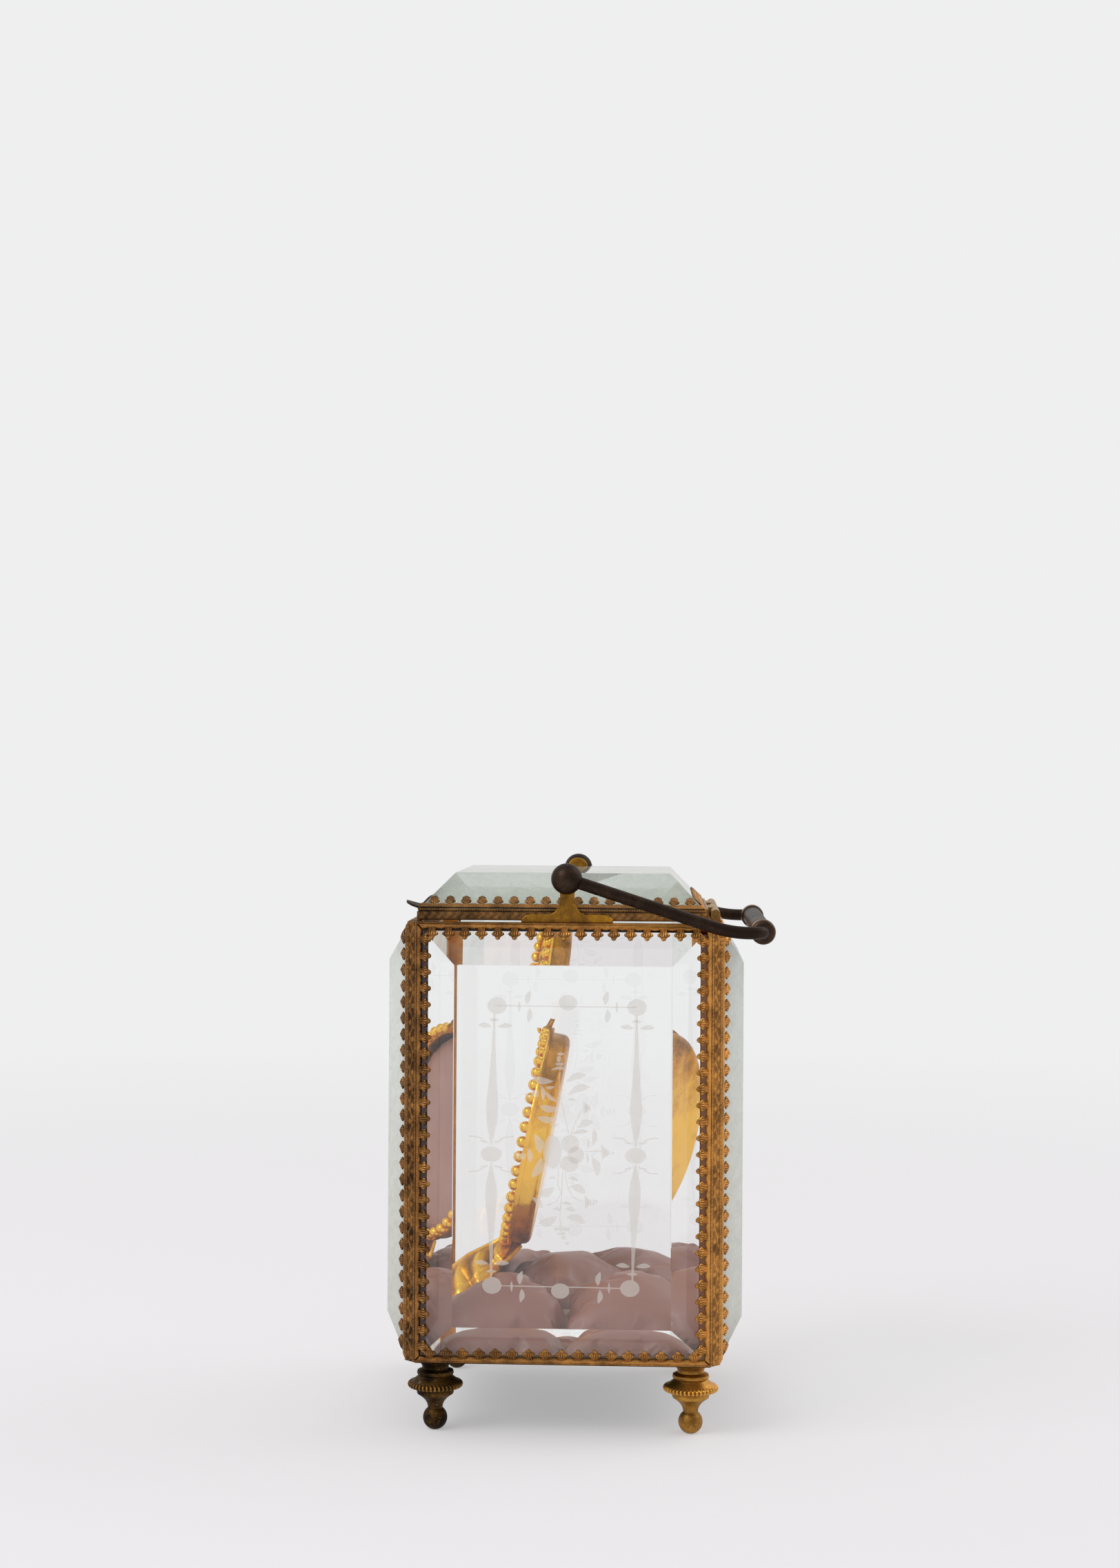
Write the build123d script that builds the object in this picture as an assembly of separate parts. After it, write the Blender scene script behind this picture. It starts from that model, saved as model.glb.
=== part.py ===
from build123d import *
from math import atan2, cos, degrees, pi, radians, sin, sqrt
import os

# A bevelled-glass and gilt-brass watch case, in millimetres: +Z up, front -Y, back +Y, right +X.
# It is drawn about the middle of the case, and moved at the end so that the origin
# is under the middle of the whole object, handle included.

# Case
foot_height = 14.0
case_height = 87.8
case_width = 63.0
case_depth = 63.0
plate_thickness = 0.6
plate_inset = 2.0

# Gallery brass and its prongs
strip_thickness = 0.3
corner_band_width = 3.0
corner_bead_height = 0.25
corner_bead_width = 2.0
rail_web_thickness = 0.5
rail_flange_height = 2.0
angle_leg_length = 3.0
prong_pitch = 3.3
prong_width = 2.2
prong_length = 3.0
prong_root_band = 0.75
prong_end_margin = 2.9

# Glass panels
glass_edge_thickness = 1.7
bevel_width = 7.65
bevel_rise = 4.75

# Lid
lid_gap = 0.3
lid_side_inset = 3.0
lid_front_inset = 1.8
lid_back_inset = 3.2
lid_band_height = 1.7
lid_band_relief = 0.15
lid_wall_thickness = 0.4
lid_lip_width = 3.0
lid_glass_edge = 1.9
lid_bevel_width = 6.8
lid_bevel_rise = 7.0
lid_prong_width = 1.95
lid_prong_length = 3.0
lid_prong_root_band = 1.0
tab_width = 11.0
tab_reach = 5.1
tab_thickness = 0.6
tab_rise = 1.2
tab_bend_reach = 2.8
tab_bend_rise = 0.24

# Hinge
hinge_length = 48.0
hinge_knuckles = 5
hinge_knuckle_gap = 0.1
hinge_axis_behind_lid = 1.9
hinge_axis_height = 1.6
knuckle_radius = 0.95
hinge_pin_radius = 0.45
pin_clearance = 0.05
leaf_thickness = 0.4

# Handle
pivot_offset = 0.5
pivot_height = 8.9
ball_radius = 3.1
ball_gap = 0.2
bracket_thickness = 0.8
bracket_standoff = 1.0
bracket_base_width = 18.4
bracket_base_height = 1.7
bracket_base_corner = 1.0
bracket_neck_base = 6.0
bracket_neck_waist = 3.0
bracket_neck_top = 2.6
bracket_waist_height = 4.4
bracket_neck_height = 7.3
bracket_eye_radius = 2.3
pivot_pin_radius = 0.8
pivot_head_radius = 1.4
pivot_head_thickness = 0.35
pivot_pin_depth = 3.0
arm_radius = 1.25
arm_slope = 17.8
arm_bend_radius = 25.0
arm_reach = 39.0
elbow_radius = 2.6
arm_tenon = 5.4
socket_floor = 1.4
collar_radius = 2.5
collar_length = 3.6
collar_groove_depth = 0.35
collar_groove_width = 0.8
collar_groove_place = 1.6
collar_chamfer = 0.6
barrel_radius = 2.05
press_clearance = 0.02

# Feet, from the plate down
foot_inset = 5.8
foot_cup_radius = 3.6
foot_waist_radius = 2.6
foot_ring_radius = 3.7
foot_disc_radius = 5.6
foot_neck_radius = 1.55
foot_ball_radius = 2.45
foot_flat_radius = 0.8
foot_flare_sagitta = 0.55
foot_shank_radius = 0.8

# Cushion and its board
board_thickness = 0.8
board_gap = 1.2
board_corner_cut = 5.5
cushion_height = 14.2
cushion_widest = 3.4
cushion_foot_inset = 1.2
cushion_draw_in = 0.9
cushion_corner_cut = 3.0
tuft_spacing_x = 16.0
tuft_spacing_y = 14.5
tuft_depth = 9.0
tuft_radius = 6.0
funnel_sides = 12
fold_depth = 4.5
fold_half_angle = 20.0
button_radius = 2.0
button_clearance = 0.2
button_sides = 8
button_height = 1.3
button_taper = 25.0

# Watch stand
stand_lean = 10.8
stand_setback = 7.97
stand_height = 41.3
cup_half_width = 20.0
cup_half_height = 22.25
cup_depth = 4.3
cup_wall = 0.6
rim_width = 1.9
rim_thickness = 0.5
bead_count = 46
bead_radius = 1.05
bead_height = 1.3
bead_taper = 20.0
pad_thickness = 2.4
pad_shoulder = 0.96
pad_taper = 60.0
pad_side_gap = 0.35
pad_sides = 24
crest_width = 3.9
crest_height = 2.2
crest_thickness = 1.0
hook_radius = 0.45
hook_reach = 2.6
hook_rise = 1.6
leaf_half = 11.6
leaf_gauge = 1.2
leaf_neck_share = 0.25
leaf_clearance = 0.5
leaf_toe_gap = 3.65
leaf_toe_height = 3.4
leaf_root_overlap = 0.06
stud_radius = 1.5
stud_share = 0.62

# Worked out from the sizes above
plate_bottom = foot_height
plate_top = plate_bottom + plate_thickness
case_bottom = plate_top
case_top = case_bottom + case_height
half_width = case_width / 2
half_depth = case_depth / 2
bevel_angle = atan2(bevel_rise, bevel_width)
corner_cut = corner_band_width / sqrt(2)
edge_inset = strip_thickness * cos(bevel_angle)
inner_inset = edge_inset + glass_edge_thickness
flange_inset = inner_inset + strip_thickness
end_inset = corner_cut + strip_thickness * sin(bevel_angle)
glass_bottom = case_bottom + rail_web_thickness
glass_top = case_top - rail_web_thickness
case_middle = (case_bottom + case_top) / 2

lid_bottom = case_top + lid_gap
lid_seat = lid_bottom + lid_wall_thickness
lid_fold = lid_seat + lid_glass_edge
lid_top = lid_fold + lid_bevel_rise
lid_width = case_width - 2 * lid_side_inset
lid_back = half_depth - lid_back_inset
lid_front = lid_front_inset - half_depth
lid_depth = lid_back - lid_front
lid_offset = (lid_front + lid_back) / 2

hinge_y = lid_back + hinge_axis_behind_lid
hinge_z = case_top + hinge_axis_height
knuckle_bore = hinge_pin_radius + pin_clearance

bracket_face = lid_width / 2 + bracket_standoff + bracket_thickness
pivot_z = case_top + pivot_height
ball_x = bracket_face + ball_gap + ball_radius
slope = radians(arm_slope)
arm_run = (arm_reach - elbow_radius - arm_bend_radius * sin(slope)) / cos(slope)
grip_y = pivot_offset + arm_reach
grip_z = pivot_z - arm_run * sin(slope) - arm_bend_radius * (1 - cos(slope))

stand_y = -stand_setback
stand_z = plate_top + stand_height
lean = radians(stand_lean)
stand_plane = Plane(origin=(0, stand_y, stand_z), x_dir=(1, 0, 0), z_dir=(0, -cos(lean), sin(lean)))
leaf_root = stand_plane.from_local_coords((0, -cup_half_height, -cup_depth / 2))
leaf_toe = Vector(0, flange_inset + leaf_toe_gap - half_depth, plate_top + leaf_toe_height)
stud_y = leaf_root.Y + stud_share * (leaf_toe.Y - leaf_root.Y)

board_top = plate_top + board_thickness
cushion_half_x = half_width - flange_inset - board_gap
cushion_half_y = half_depth - flange_inset - board_gap
cushion_top = board_top + cushion_height
button_seat = cushion_top - tuft_depth

front_reach = half_depth - edge_inset + bevel_rise
back_reach = grip_y + collar_radius
row_shift = Location((0, (front_reach - back_reach) / 2, 0))


def prism(points, plane, depth):
    """A straight prism: a closed polygon on a plane, carried along the plane's normal."""
    outline = Polyline(*points, close=True)
    return extrude(plane * make_face(outline), depth)


def ellipse_prism(half_x, half_y, low, high):
    """An elliptical slab between two heights of the stand's own plane."""
    return extrude(stand_plane * Pos(0, 0, low) * Ellipse(half_x, half_y), high - low)


# Half widths and heights of a prong's corners, as shares of its width and free length
pointed_crown = [(-1.0, 0.6), (0, 1.0), (1.0, 0.6)]
blunt_crown = [(-0.8, 1.0), (0.8, 1.0)]


def comb_outline(length, mitre, width, reach, root_band, crown):
    """The flat blank of a row of prongs: a root band with mitred ends, prongs, and notches between."""
    span = length - 2 * prong_end_margin
    count = round(span / prong_pitch) + 1
    pitch = span / (count - 1)
    free = reach - root_band
    points = [(0, 0), (root_band * mitre, root_band)]
    for number in range(count):
        middle = prong_end_margin + number * pitch
        points.append((middle - pitch / 2, root_band))
        points += [(middle + along * width / 2, root_band + up * free) for along, up in crown]
    points += [(middle + pitch / 2, root_band), (length - root_band * mitre, root_band), (length, 0)]
    return points


def corner_point(corner, x, y):
    return (corner[0] + x, corner[1] + y)


def corner_strip():
    """The outer strip of one corner: a beaded band across the corner and a comb on each glass."""
    e, h, c = edge_inset, end_inset, corner_cut
    bead = (corner_band_width - corner_bead_width) / 2 / sqrt(2)
    lift = corner_bead_height / sqrt(2)
    section = [
        (0, -c),
        (-bead, -c + bead),
        (-bead + lift, -c + bead + lift),
        (-c + bead + lift, -bead + lift),
        (-c + bead, -bead),
        (-c, 0),
        (-h, -e),
        (-e, -h),
    ]
    corner = (half_width, half_depth)
    band = prism([corner_point(corner, x, y) for x, y in section], Plane.XY.offset(case_bottom), case_height)
    length = glass_top - glass_bottom
    outline = comb_outline(
        length, cos(bevel_angle), prong_width, prong_length, prong_root_band, pointed_crown
    )
    side_plane = Plane(
        origin=(half_width - e, half_depth - h, glass_bottom),
        x_dir=(0, 0, 1),
        z_dir=(cos(bevel_angle), sin(bevel_angle), 0),
    )
    side_comb = prism(outline, side_plane, strip_thickness)
    back_plane = Plane(
        origin=(half_width - h, half_depth - e, glass_bottom),
        x_dir=(0, 0, 1),
        z_dir=(sin(bevel_angle), cos(bevel_angle), 0),
    )
    back_comb = prism([(s, -p) for s, p in outline], back_plane, strip_thickness)
    return band + side_comb + back_comb


def inner_angle():
    """The inside of one corner: two legs behind the glass and a bar between the panels' edges."""
    c, g, h, e = flange_inset, inner_inset, end_inset, edge_inset
    tip = c + angle_leg_length
    section = [(-c, -tip), (-c, -c), (-tip, -c), (-tip, -g), (-h, -g)]
    section += [(-h, -e), (-e, -h), (-g, -h), (-g, -tip)]
    corner = (half_width, half_depth)
    points = [corner_point(corner, x, y) for x, y in section]
    return prism(points, Plane.XY.offset(glass_bottom), glass_top - glass_bottom)


def top_rail(across, along):
    """A top rail on the +X side: a web over the glass edge, a flange inside and a comb outside."""
    c, g, h, e = flange_inset, inner_inset, end_inset, edge_inset
    mitre = (e + strip_thickness * sin(bevel_angle) + corner_cut) / 2
    half_web = [(across - c, along - c), (across - mitre, along - mitre), (across - e, along - h)]
    half_web.append((across, along - corner_cut))
    web_points = half_web + [(x, -y) for x, y in reversed(half_web)]
    web = prism(web_points, Plane.XY.offset(glass_top), rail_web_thickness)
    flange_half = along - c - angle_leg_length
    flange = Pos(across - (c + g) / 2, 0, glass_top - rail_flange_height / 2) * Box(
        strip_thickness, 2 * flange_half, rail_flange_height
    )
    length = 2 * (along - h)
    outline = comb_outline(
        length, cos(bevel_angle), prong_width, prong_length, prong_root_band, pointed_crown
    )
    comb_plane = Plane(
        origin=(across - e, -length / 2, glass_top),
        x_dir=(0, 1, 0),
        z_dir=(cos(bevel_angle), 0, sin(bevel_angle)),
    )
    comb = prism([(s, -p) for s, p in outline], comb_plane, strip_thickness)
    return web + flange + comb


def bevelled_glass(wide, long, edge, bevel, rise):
    """Thick glass lying on its inner face: a square edge, and a bevel ground all round its top."""
    blank = Rectangle(wide, long)
    crown = extrude(Pos(0, 0, edge) * blank, rise, taper=degrees(atan2(bevel, rise)))
    return extrude(blank, edge) + crown


def glass_panel(across, along):
    """A panel on the +X side, with its bevels outside."""
    inner = Plane(origin=(across - inner_inset, 0, case_middle), x_dir=(0, 1, 0), z_dir=(1, 0, 0))
    wide, high = 2 * (along - end_inset), glass_top - glass_bottom
    return inner * bevelled_glass(wide, high, glass_edge_thickness, bevel_width, bevel_rise)


def around(make, half_x, half_y):
    """One piece for each side of a rectangle, turned from the +X side."""
    return {
        "right": make(half_x, half_y),
        "back": Rot(0, 0, 90) * make(half_y, half_x),
        "left": Rot(0, 0, 180) * make(half_x, half_y),
        "front": Rot(0, 0, -90) * make(half_y, half_x),
    }


def four_corners(shape):
    """The same piece in each corner, by mirroring."""
    left = mirror(shape, about=Plane.YZ)
    return {
        "back_right": shape,
        "back_left": left,
        "front_right": mirror(shape, about=Plane.XZ),
        "front_left": mirror(left, about=Plane.XZ),
    }


def lid_rail(across, along):
    """A lid rail on the +X side: lip, wall with a proud lower band, and a comb over the lid glass."""
    slant = atan2(lid_bevel_rise, lid_bevel_width)
    wall = lid_wall_thickness
    fold_x = across - wall
    recess = across - lid_band_relief
    section = [
        (across - lid_lip_width, lid_bottom),
        (across, lid_bottom),
        (across, lid_bottom + lid_band_height),
        (recess, lid_bottom + lid_band_height),
        (recess, lid_fold),
        (fold_x + strip_thickness * sin(slant), lid_fold + strip_thickness * cos(slant)),
        (fold_x, lid_fold),
        (fold_x, lid_seat),
        (across - lid_lip_width, lid_seat),
    ]
    profile_plane = Plane(origin=(0, along, 0), x_dir=(1, 0, 0), z_dir=(0, -1, 0))
    bar = prism(section, profile_plane, 2 * along)
    reach = 2 * lid_lip_width
    trapezoid = [
        (across + reach, along + reach),
        (across - reach, along - reach),
        (across - reach, reach - along),
        (across + reach, -along - reach),
    ]
    bar = bar & prism(trapezoid, Plane.XY.offset(lid_bottom), lid_top - lid_bottom)
    length = 2 * (along - wall)
    outline = comb_outline(
        length, cos(slant), lid_prong_width, lid_prong_length, lid_prong_root_band, blunt_crown
    )
    comb_plane = Plane(
        origin=(fold_x, length / 2, lid_fold),
        x_dir=(0, -1, 0),
        z_dir=(sin(slant), 0, cos(slant)),
    )
    comb = prism([(s, -p) for s, p in outline], comb_plane, strip_thickness)
    return bar + comb


def lid_glass():
    """The lid's thick glass, bevelled all round its top."""
    walls = 2 * lid_wall_thickness
    wide, long = lid_width - walls, lid_depth - walls
    glass = bevelled_glass(wide, long, lid_glass_edge, lid_bevel_width, lid_bevel_rise)
    return Pos(0, lid_offset, lid_seat) * glass


def lid_tab():
    """The finger tab: a half-round tongue that curves up as it leaves the front rail."""
    low = lid_bottom + lid_band_height / 2
    root = (lid_front, low)
    middle = (lid_front - tab_bend_reach, low + tab_bend_rise)
    tip = (lid_front - tab_reach, low + tab_rise)
    lower = ThreePointArc(root, middle, tip)
    upper = ThreePointArc(*[(y, z + tab_thickness) for y, z in (root, middle, tip)])
    edges = lower + Line(tip, (tip[0], tip[1] + tab_thickness)) + upper
    edges += Line((root[0], root[1] + tab_thickness), root)
    side = extrude(Plane.YZ * make_face(edges), tab_width, both=True)
    disc = Pos(0, lid_front, low) * extrude(Ellipse(tab_width / 2, tab_reach), 4 * tab_rise, both=True)
    return side & disc


def hinge_knuckle(number):
    """One knuckle's place along the hinge: its start and its length."""
    pitch = hinge_length / hinge_knuckles
    return -hinge_length / 2 + number * pitch + hinge_knuckle_gap / 2, pitch - hinge_knuckle_gap


def hinge_leaf(numbers, plate_low, plate_high, web):
    """A leaf: a flat plate along the hinge, with a barrel and a web for each of its knuckles."""
    leaf = Pos(0, (plate_low[0] + plate_high[0]) / 2, (plate_low[1] + plate_high[1]) / 2) * Box(
        hinge_length, plate_high[0] - plate_low[0], plate_high[1] - plate_low[1]
    )
    bore_plane = Plane(origin=(-hinge_length / 2, hinge_y, hinge_z), x_dir=(0, 1, 0), z_dir=(1, 0, 0))
    for number in numbers:
        start, length = hinge_knuckle(number)
        end = Plane(origin=(start, hinge_y, hinge_z), x_dir=(0, 1, 0), z_dir=(1, 0, 0))
        leaf += extrude(end * Circle(knuckle_radius), length)
        leaf += prism(web, end, length)
    return leaf - extrude(bore_plane * Circle(knuckle_bore), hinge_length)


def hinge_leaf_case():
    """The case's leaf lies on the back rail and carries every other knuckle."""
    low = (hinge_y - knuckle_radius, case_top)
    high = (half_depth, case_top + leaf_thickness)
    drop = case_top + leaf_thickness / 2 - hinge_z
    web = [(-knuckle_radius, 0), (-knuckle_radius, drop), (knuckle_radius, drop), (knuckle_radius, 0)]
    return hinge_leaf(range(0, hinge_knuckles, 2), low, high, web)


def hinge_leaf_lid():
    """The lid's leaf stands on the back of the lid's rim."""
    low = (lid_back, lid_bottom)
    high = (lid_back + leaf_thickness, lid_fold)
    back = lid_back + leaf_thickness / 2 - hinge_y
    web = [(0, knuckle_radius), (back, knuckle_radius), (back, 0), (0, 0)]
    return hinge_leaf(range(1, hinge_knuckles, 2), low, high, web)


def hinge_pin():
    plane = Plane(origin=(-hinge_length / 2, hinge_y, hinge_z), x_dir=(0, 1, 0), z_dir=(1, 0, 0))
    return extrude(plane * Circle(hinge_pin_radius), hinge_length)


def bracket():
    """The right-hand bracket: a long low base, a waisted neck and a round eye for the pivot pin."""
    face = Plane(origin=(bracket_face, pivot_offset, case_top), x_dir=(0, 1, 0), z_dir=(-1, 0, 0))
    base_top = bracket_base_height
    base = extrude(face * Pos(0, -base_top / 2) * Rectangle(bracket_base_width, base_top), bracket_thickness)
    ends = base.edges().filter_by(Axis.X).sort_by(Axis.Z)[-2:]
    base = fillet(ends, bracket_base_corner)
    neck_low = (bracket_neck_base / 2, -base_top / 2)
    neck_high = (bracket_neck_top / 2, -bracket_neck_height)
    waist = (bracket_neck_waist / 2, -bracket_waist_height)
    sides = ThreePointArc(neck_low, waist, neck_high)
    sides += Line(neck_high, (-neck_high[0], neck_high[1]))
    sides += ThreePointArc((-neck_high[0], neck_high[1]), (-waist[0], waist[1]), (-neck_low[0], neck_low[1]))
    sides += Line((-neck_low[0], neck_low[1]), neck_low)
    neck = extrude(face * make_face(sides), bracket_thickness)
    eye = extrude(face * Pos(0, -pivot_height) * Circle(bracket_eye_radius), bracket_thickness)
    pin_hole = Circle(pivot_pin_radius + press_clearance)
    hole = extrude(face * Pos(0, -pivot_height) * pin_hole, bracket_thickness)
    return base + neck + eye - hole


def pivot_pin():
    """A rivet through the bracket's eye: its head is inside, its shank runs in the ball."""
    inner = bracket_face - bracket_thickness
    head_plane = Plane(origin=(inner, pivot_offset, pivot_z), x_dir=(0, 1, 0), z_dir=(-1, 0, 0))
    head = extrude(head_plane * Circle(pivot_head_radius), pivot_head_thickness)
    length = ball_x - ball_radius + pivot_pin_depth - inner
    return head + extrude(head_plane * Circle(pivot_pin_radius), -length)


def arm_path():
    """The right arm's centre line: straight down and back, a long bend to level, then the elbow."""
    start = (ball_x, pivot_offset + socket_floor * cos(slope), pivot_z - socket_floor * sin(slope))
    bend_y = pivot_offset + arm_run * cos(slope)
    bend_z = pivot_z - arm_run * sin(slope)
    middle_y = bend_y + arm_bend_radius * (sin(slope) - sin(slope / 2))
    middle_z = bend_z - arm_bend_radius * (cos(slope / 2) - cos(slope))
    level_y = grip_y - elbow_radius
    level_x = ball_x - elbow_radius
    corner = elbow_radius * (1 - sqrt(0.5))
    run = Line(start, (ball_x, bend_y, bend_z))
    bend = ThreePointArc(run @ 1, (ball_x, middle_y, middle_z), (ball_x, level_y, grip_z))
    elbow = ThreePointArc(bend @ 1, (ball_x - corner, grip_y - corner, grip_z), (level_x, grip_y, grip_z))
    tenon = Line(elbow @ 1, (level_x - arm_tenon, grip_y, grip_z))
    return run + bend + elbow + tenon


def handle_arm():
    path = arm_path()
    section = Plane(origin=path @ 0, z_dir=path % 0) * Circle(arm_radius)
    return sweep(section, path=path)


def revolve_about_grip(points):
    """A turned piece on the grip's axis: points are (distance along X, radius)."""
    plane = Plane(origin=(0, grip_y, grip_z), x_dir=(1, 0, 0), z_dir=(0, 0, 1))
    face = plane * make_face(Polyline(*points, close=True))
    return revolve(face, Axis((0, grip_y, grip_z), (1, 0, 0)))


def grip_collar():
    """The ribbed collar at the grip's right end, bored for the arm's tenon."""
    outer = ball_x - elbow_radius
    inner = outer - collar_length
    bore = arm_radius + press_clearance
    groove = inner + collar_groove_place
    half = collar_groove_width / 2
    points = [
        (inner, bore),
        (inner, collar_radius),
        (groove - half, collar_radius),
        (groove, collar_radius - collar_groove_depth),
        (groove + half, collar_radius),
        (outer - collar_chamfer, collar_radius),
        (outer, collar_radius - collar_groove_depth),
        (outer, bore),
    ]
    return revolve_about_grip(points)


def grip_barrel():
    """The smooth barrel between the collars, with a socket for each tenon."""
    end = ball_x - elbow_radius - collar_length
    bore = arm_radius + press_clearance
    floor = ball_x - elbow_radius - arm_tenon - press_clearance
    points = [
        (-end, bore),
        (-end, barrel_radius),
        (end, barrel_radius),
        (end, bore),
        (floor, bore),
        (floor, 0),
        (-floor, 0),
        (-floor, bore),
    ]
    return revolve_about_grip(points)


def handle_ball():
    """The right-hand ball: a socket for the arm and a blind bore for the pivot pin."""
    ball = Pos(ball_x, pivot_offset, pivot_z) * Sphere(ball_radius)
    bore_plane = Plane(
        origin=(ball_x - ball_radius, pivot_offset, pivot_z), x_dir=(0, 1, 0), z_dir=(1, 0, 0)
    )
    ball -= extrude(bore_plane * Circle(pivot_pin_radius + pin_clearance), pivot_pin_depth + 2 * pin_clearance)
    direction = (0, cos(slope), -sin(slope))
    socket_plane = Plane(origin=(ball_x, pivot_offset, pivot_z), z_dir=direction).offset(socket_floor)
    return ball - extrude(socket_plane * Circle(arm_radius + press_clearance), ball_radius)


# The turned part of a foot above its flared neck: radius, and share of the height from neck to plate
foot_turning = [
    (foot_ring_radius, 0.30),
    (foot_ring_radius, 0.40),
    (foot_disc_radius, 0.50),
    (foot_disc_radius, 0.57),
    (foot_ring_radius, 0.70),
    (foot_ring_radius, 0.79),
    (foot_waist_radius, 0.85),
    (foot_cup_radius, 1.0),
]


# The foot's ball is filed in short flats: where each ends along its curve
foot_ball_steps = [0, 0.12, 0.25, 0.38, 0.5, 0.62, 0.75, 0.88, 1.0]


def foot():
    """A turned foot: ball, flared neck, ring, broad disc, ring, cup, and a shank peened in the plate."""
    ball_middle = sqrt(foot_ball_radius**2 - foot_flat_radius**2)
    neck_z = ball_middle + sqrt(foot_ball_radius**2 - foot_neck_radius**2)
    points = [(radius, neck_z + share * (plate_bottom - neck_z)) for radius, share in foot_turning]
    neck = (foot_neck_radius, neck_z)
    ball = ThreePointArc((foot_flat_radius, 0), (foot_ball_radius, ball_middle), neck)
    flare = SagittaArc(neck, points[0], foot_flare_sagitta)
    outline = Polyline(*[ball @ share for share in foot_ball_steps])
    outline += Polyline(neck, flare @ 0.35, flare @ 0.7, points[0])
    shank = [(foot_shank_radius, plate_bottom), (foot_shank_radius, plate_top), (0, plate_top)]
    outline += Polyline(*points, *shank, (0, 0), (foot_flat_radius, 0))
    return revolve(Plane.XZ * make_face(outline), Axis.Z)


def foot_places():
    x = half_width - foot_inset
    y = half_depth - foot_inset
    return [Pos(sx * x, sy * y, 0) for sx in (-1, 1) for sy in (-1, 1)]


def column(radius, low, high):
    return Pos(0, 0, low) * Cylinder(radius, high - low, align=(Align.CENTER, Align.CENTER, Align.MIN))


def base_plate():
    plate = Pos(0, 0, plate_bottom) * Box(
        case_width - 2 * plate_inset,
        case_depth - 2 * plate_inset,
        plate_thickness,
        align=(Align.CENTER, Align.CENTER, Align.MIN),
    )
    for place in foot_places():
        plate -= place * column(foot_shank_radius + press_clearance, plate_bottom, plate_top)
    return plate


def cushion_board():
    """The card under the cushion, with cut corners and a hole for the stand's stud."""
    outline = Plane.XY.offset(plate_top) * Rectangle(2 * cushion_half_x, 2 * cushion_half_y)
    board = extrude(chamfer(outline.vertices(), board_corner_cut), board_thickness)
    return board - Pos(0, stud_y, 0) * column(stud_radius + press_clearance, plate_top, board_top)


# How the cushion rounds over: share of its height above the widest level, and how far its sides are in
cushion_rounding = [(0, 0), (0.26, 1.0), (0.66, 5.0), (1.0, 11.5)]


def cushion_outline():
    """The cushion's plan: each side is drawn in between its cut corners."""
    x, y, draw = cushion_half_x, cushion_half_y, cushion_draw_in
    corners = [(x, y), (-x, y), (-x, -y), (x, -y)]
    middles = [(0, y - draw), (draw - x, 0), (0, draw - y), (x - draw, 0)]
    points = [point for pair in zip(corners, middles) for point in pair]
    plan = make_face(Polyline(*points, close=True))
    return chamfer(plan.vertices().sort_by(lambda vertex: abs(vertex.X * vertex.Y))[-4:], cushion_corner_cut)


def tuft_places():
    return [(tuft_spacing_x, 0), (0, tuft_spacing_y), (-tuft_spacing_x, 0), (0, -tuft_spacing_y)]


def tuft_funnel():
    """The hollow that one button pulls: a many-sided funnel down to a flat seat."""
    seat_radius = button_radius + button_clearance
    slant = degrees(atan2(tuft_radius - seat_radius, tuft_depth))
    funnel = extrude(RegularPolygon(tuft_radius, funnel_sides), tuft_depth, taper=slant)
    return Plane(origin=(0, 0, cushion_top), z_dir=(0, 0, -1)) * funnel


def fold(start, end):
    """The sewn fold between two tufts: a narrow wedge that opens upwards."""
    run_x, run_y = end[0] - start[0], end[1] - start[1]
    turn = degrees(atan2(run_y, run_x))
    length = sqrt(run_x**2 + run_y**2)
    half = fold_depth * sin(radians(fold_half_angle))
    section = [(0, cushion_top - fold_depth), (half, cushion_top), (-half, cushion_top)]
    wedge = prism(section, Plane.YZ, length)
    return Pos(start[0], start[1], 0) * Rot(0, 0, turn) * wedge


def cushion():
    """The tufted cushion: drawn-in sides, a crown, button hollows and the folds between them."""
    outline = cushion_outline()
    widest = Plane.XY.offset(board_top + cushion_widest)
    slant = degrees(atan2(cushion_foot_inset, cushion_widest))
    body = mirror(extrude(widest * outline, cushion_widest, taper=slant), about=widest)
    rise = cushion_height - cushion_widest
    section = outline
    for (low, inset), (high, next_inset) in zip(cushion_rounding, cushion_rounding[1:]):
        slant = degrees(atan2(next_inset - inset, rise * (high - low)))
        body += extrude(widest.offset(rise * low) * section, rise * (high - low), taper=slant)
        section = offset(outline, -next_inset, kind=Kind.INTERSECTION)
    places = tuft_places()
    for number, (x, y) in enumerate(places):
        body -= fold((x, y), places[(number + 1) % 4])
        body -= fold((x, y), (2 * x, 2 * y))
    for x, y in places:
        body -= Pos(x, y, 0) * tuft_funnel()
    body -= leaf_bed()
    return body - Pos(0, stud_y, 0) * column(stud_radius + leaf_clearance, board_top, cushion_top)


def tuft_button():
    """A small many-sided knob."""
    seat = Plane.XY.offset(button_seat) * RegularPolygon(button_radius, button_sides)
    return extrude(seat, button_height, taper=button_taper)


# The leaf foot from the cup to the front: share of the way, the arch's height, and the half width,
# where each lobe ends in a notch
leaf_stations = [
    (0.0, 2.4, 3.4),
    (0.20, 3.8, 6.6),
    (0.27, 4.4, 5.8),
    (0.48, 6.0, 9.4),
    (0.56, 6.5, 8.6),
    (0.80, 6.6, 11.6),
    (1.00, 4.2, 10.2),
]


def leaf_side(drop):
    """The leaf's side outline along its slope: a straight lower edge and an arched back."""
    way = leaf_toe - leaf_root
    plane = Plane(origin=leaf_root, x_dir=way, z_dir=(-1, 0, 0))
    over = leaf_root_overlap
    points = [(-over, 0), (-over, leaf_stations[0][1] - drop)]
    points += [(share * way.length, arch - drop) for share, arch, half in leaf_stations]
    points.append((way.length, 0))
    return extrude(plane * make_face(Polyline(*points, close=True)), leaf_half, both=True)


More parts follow.
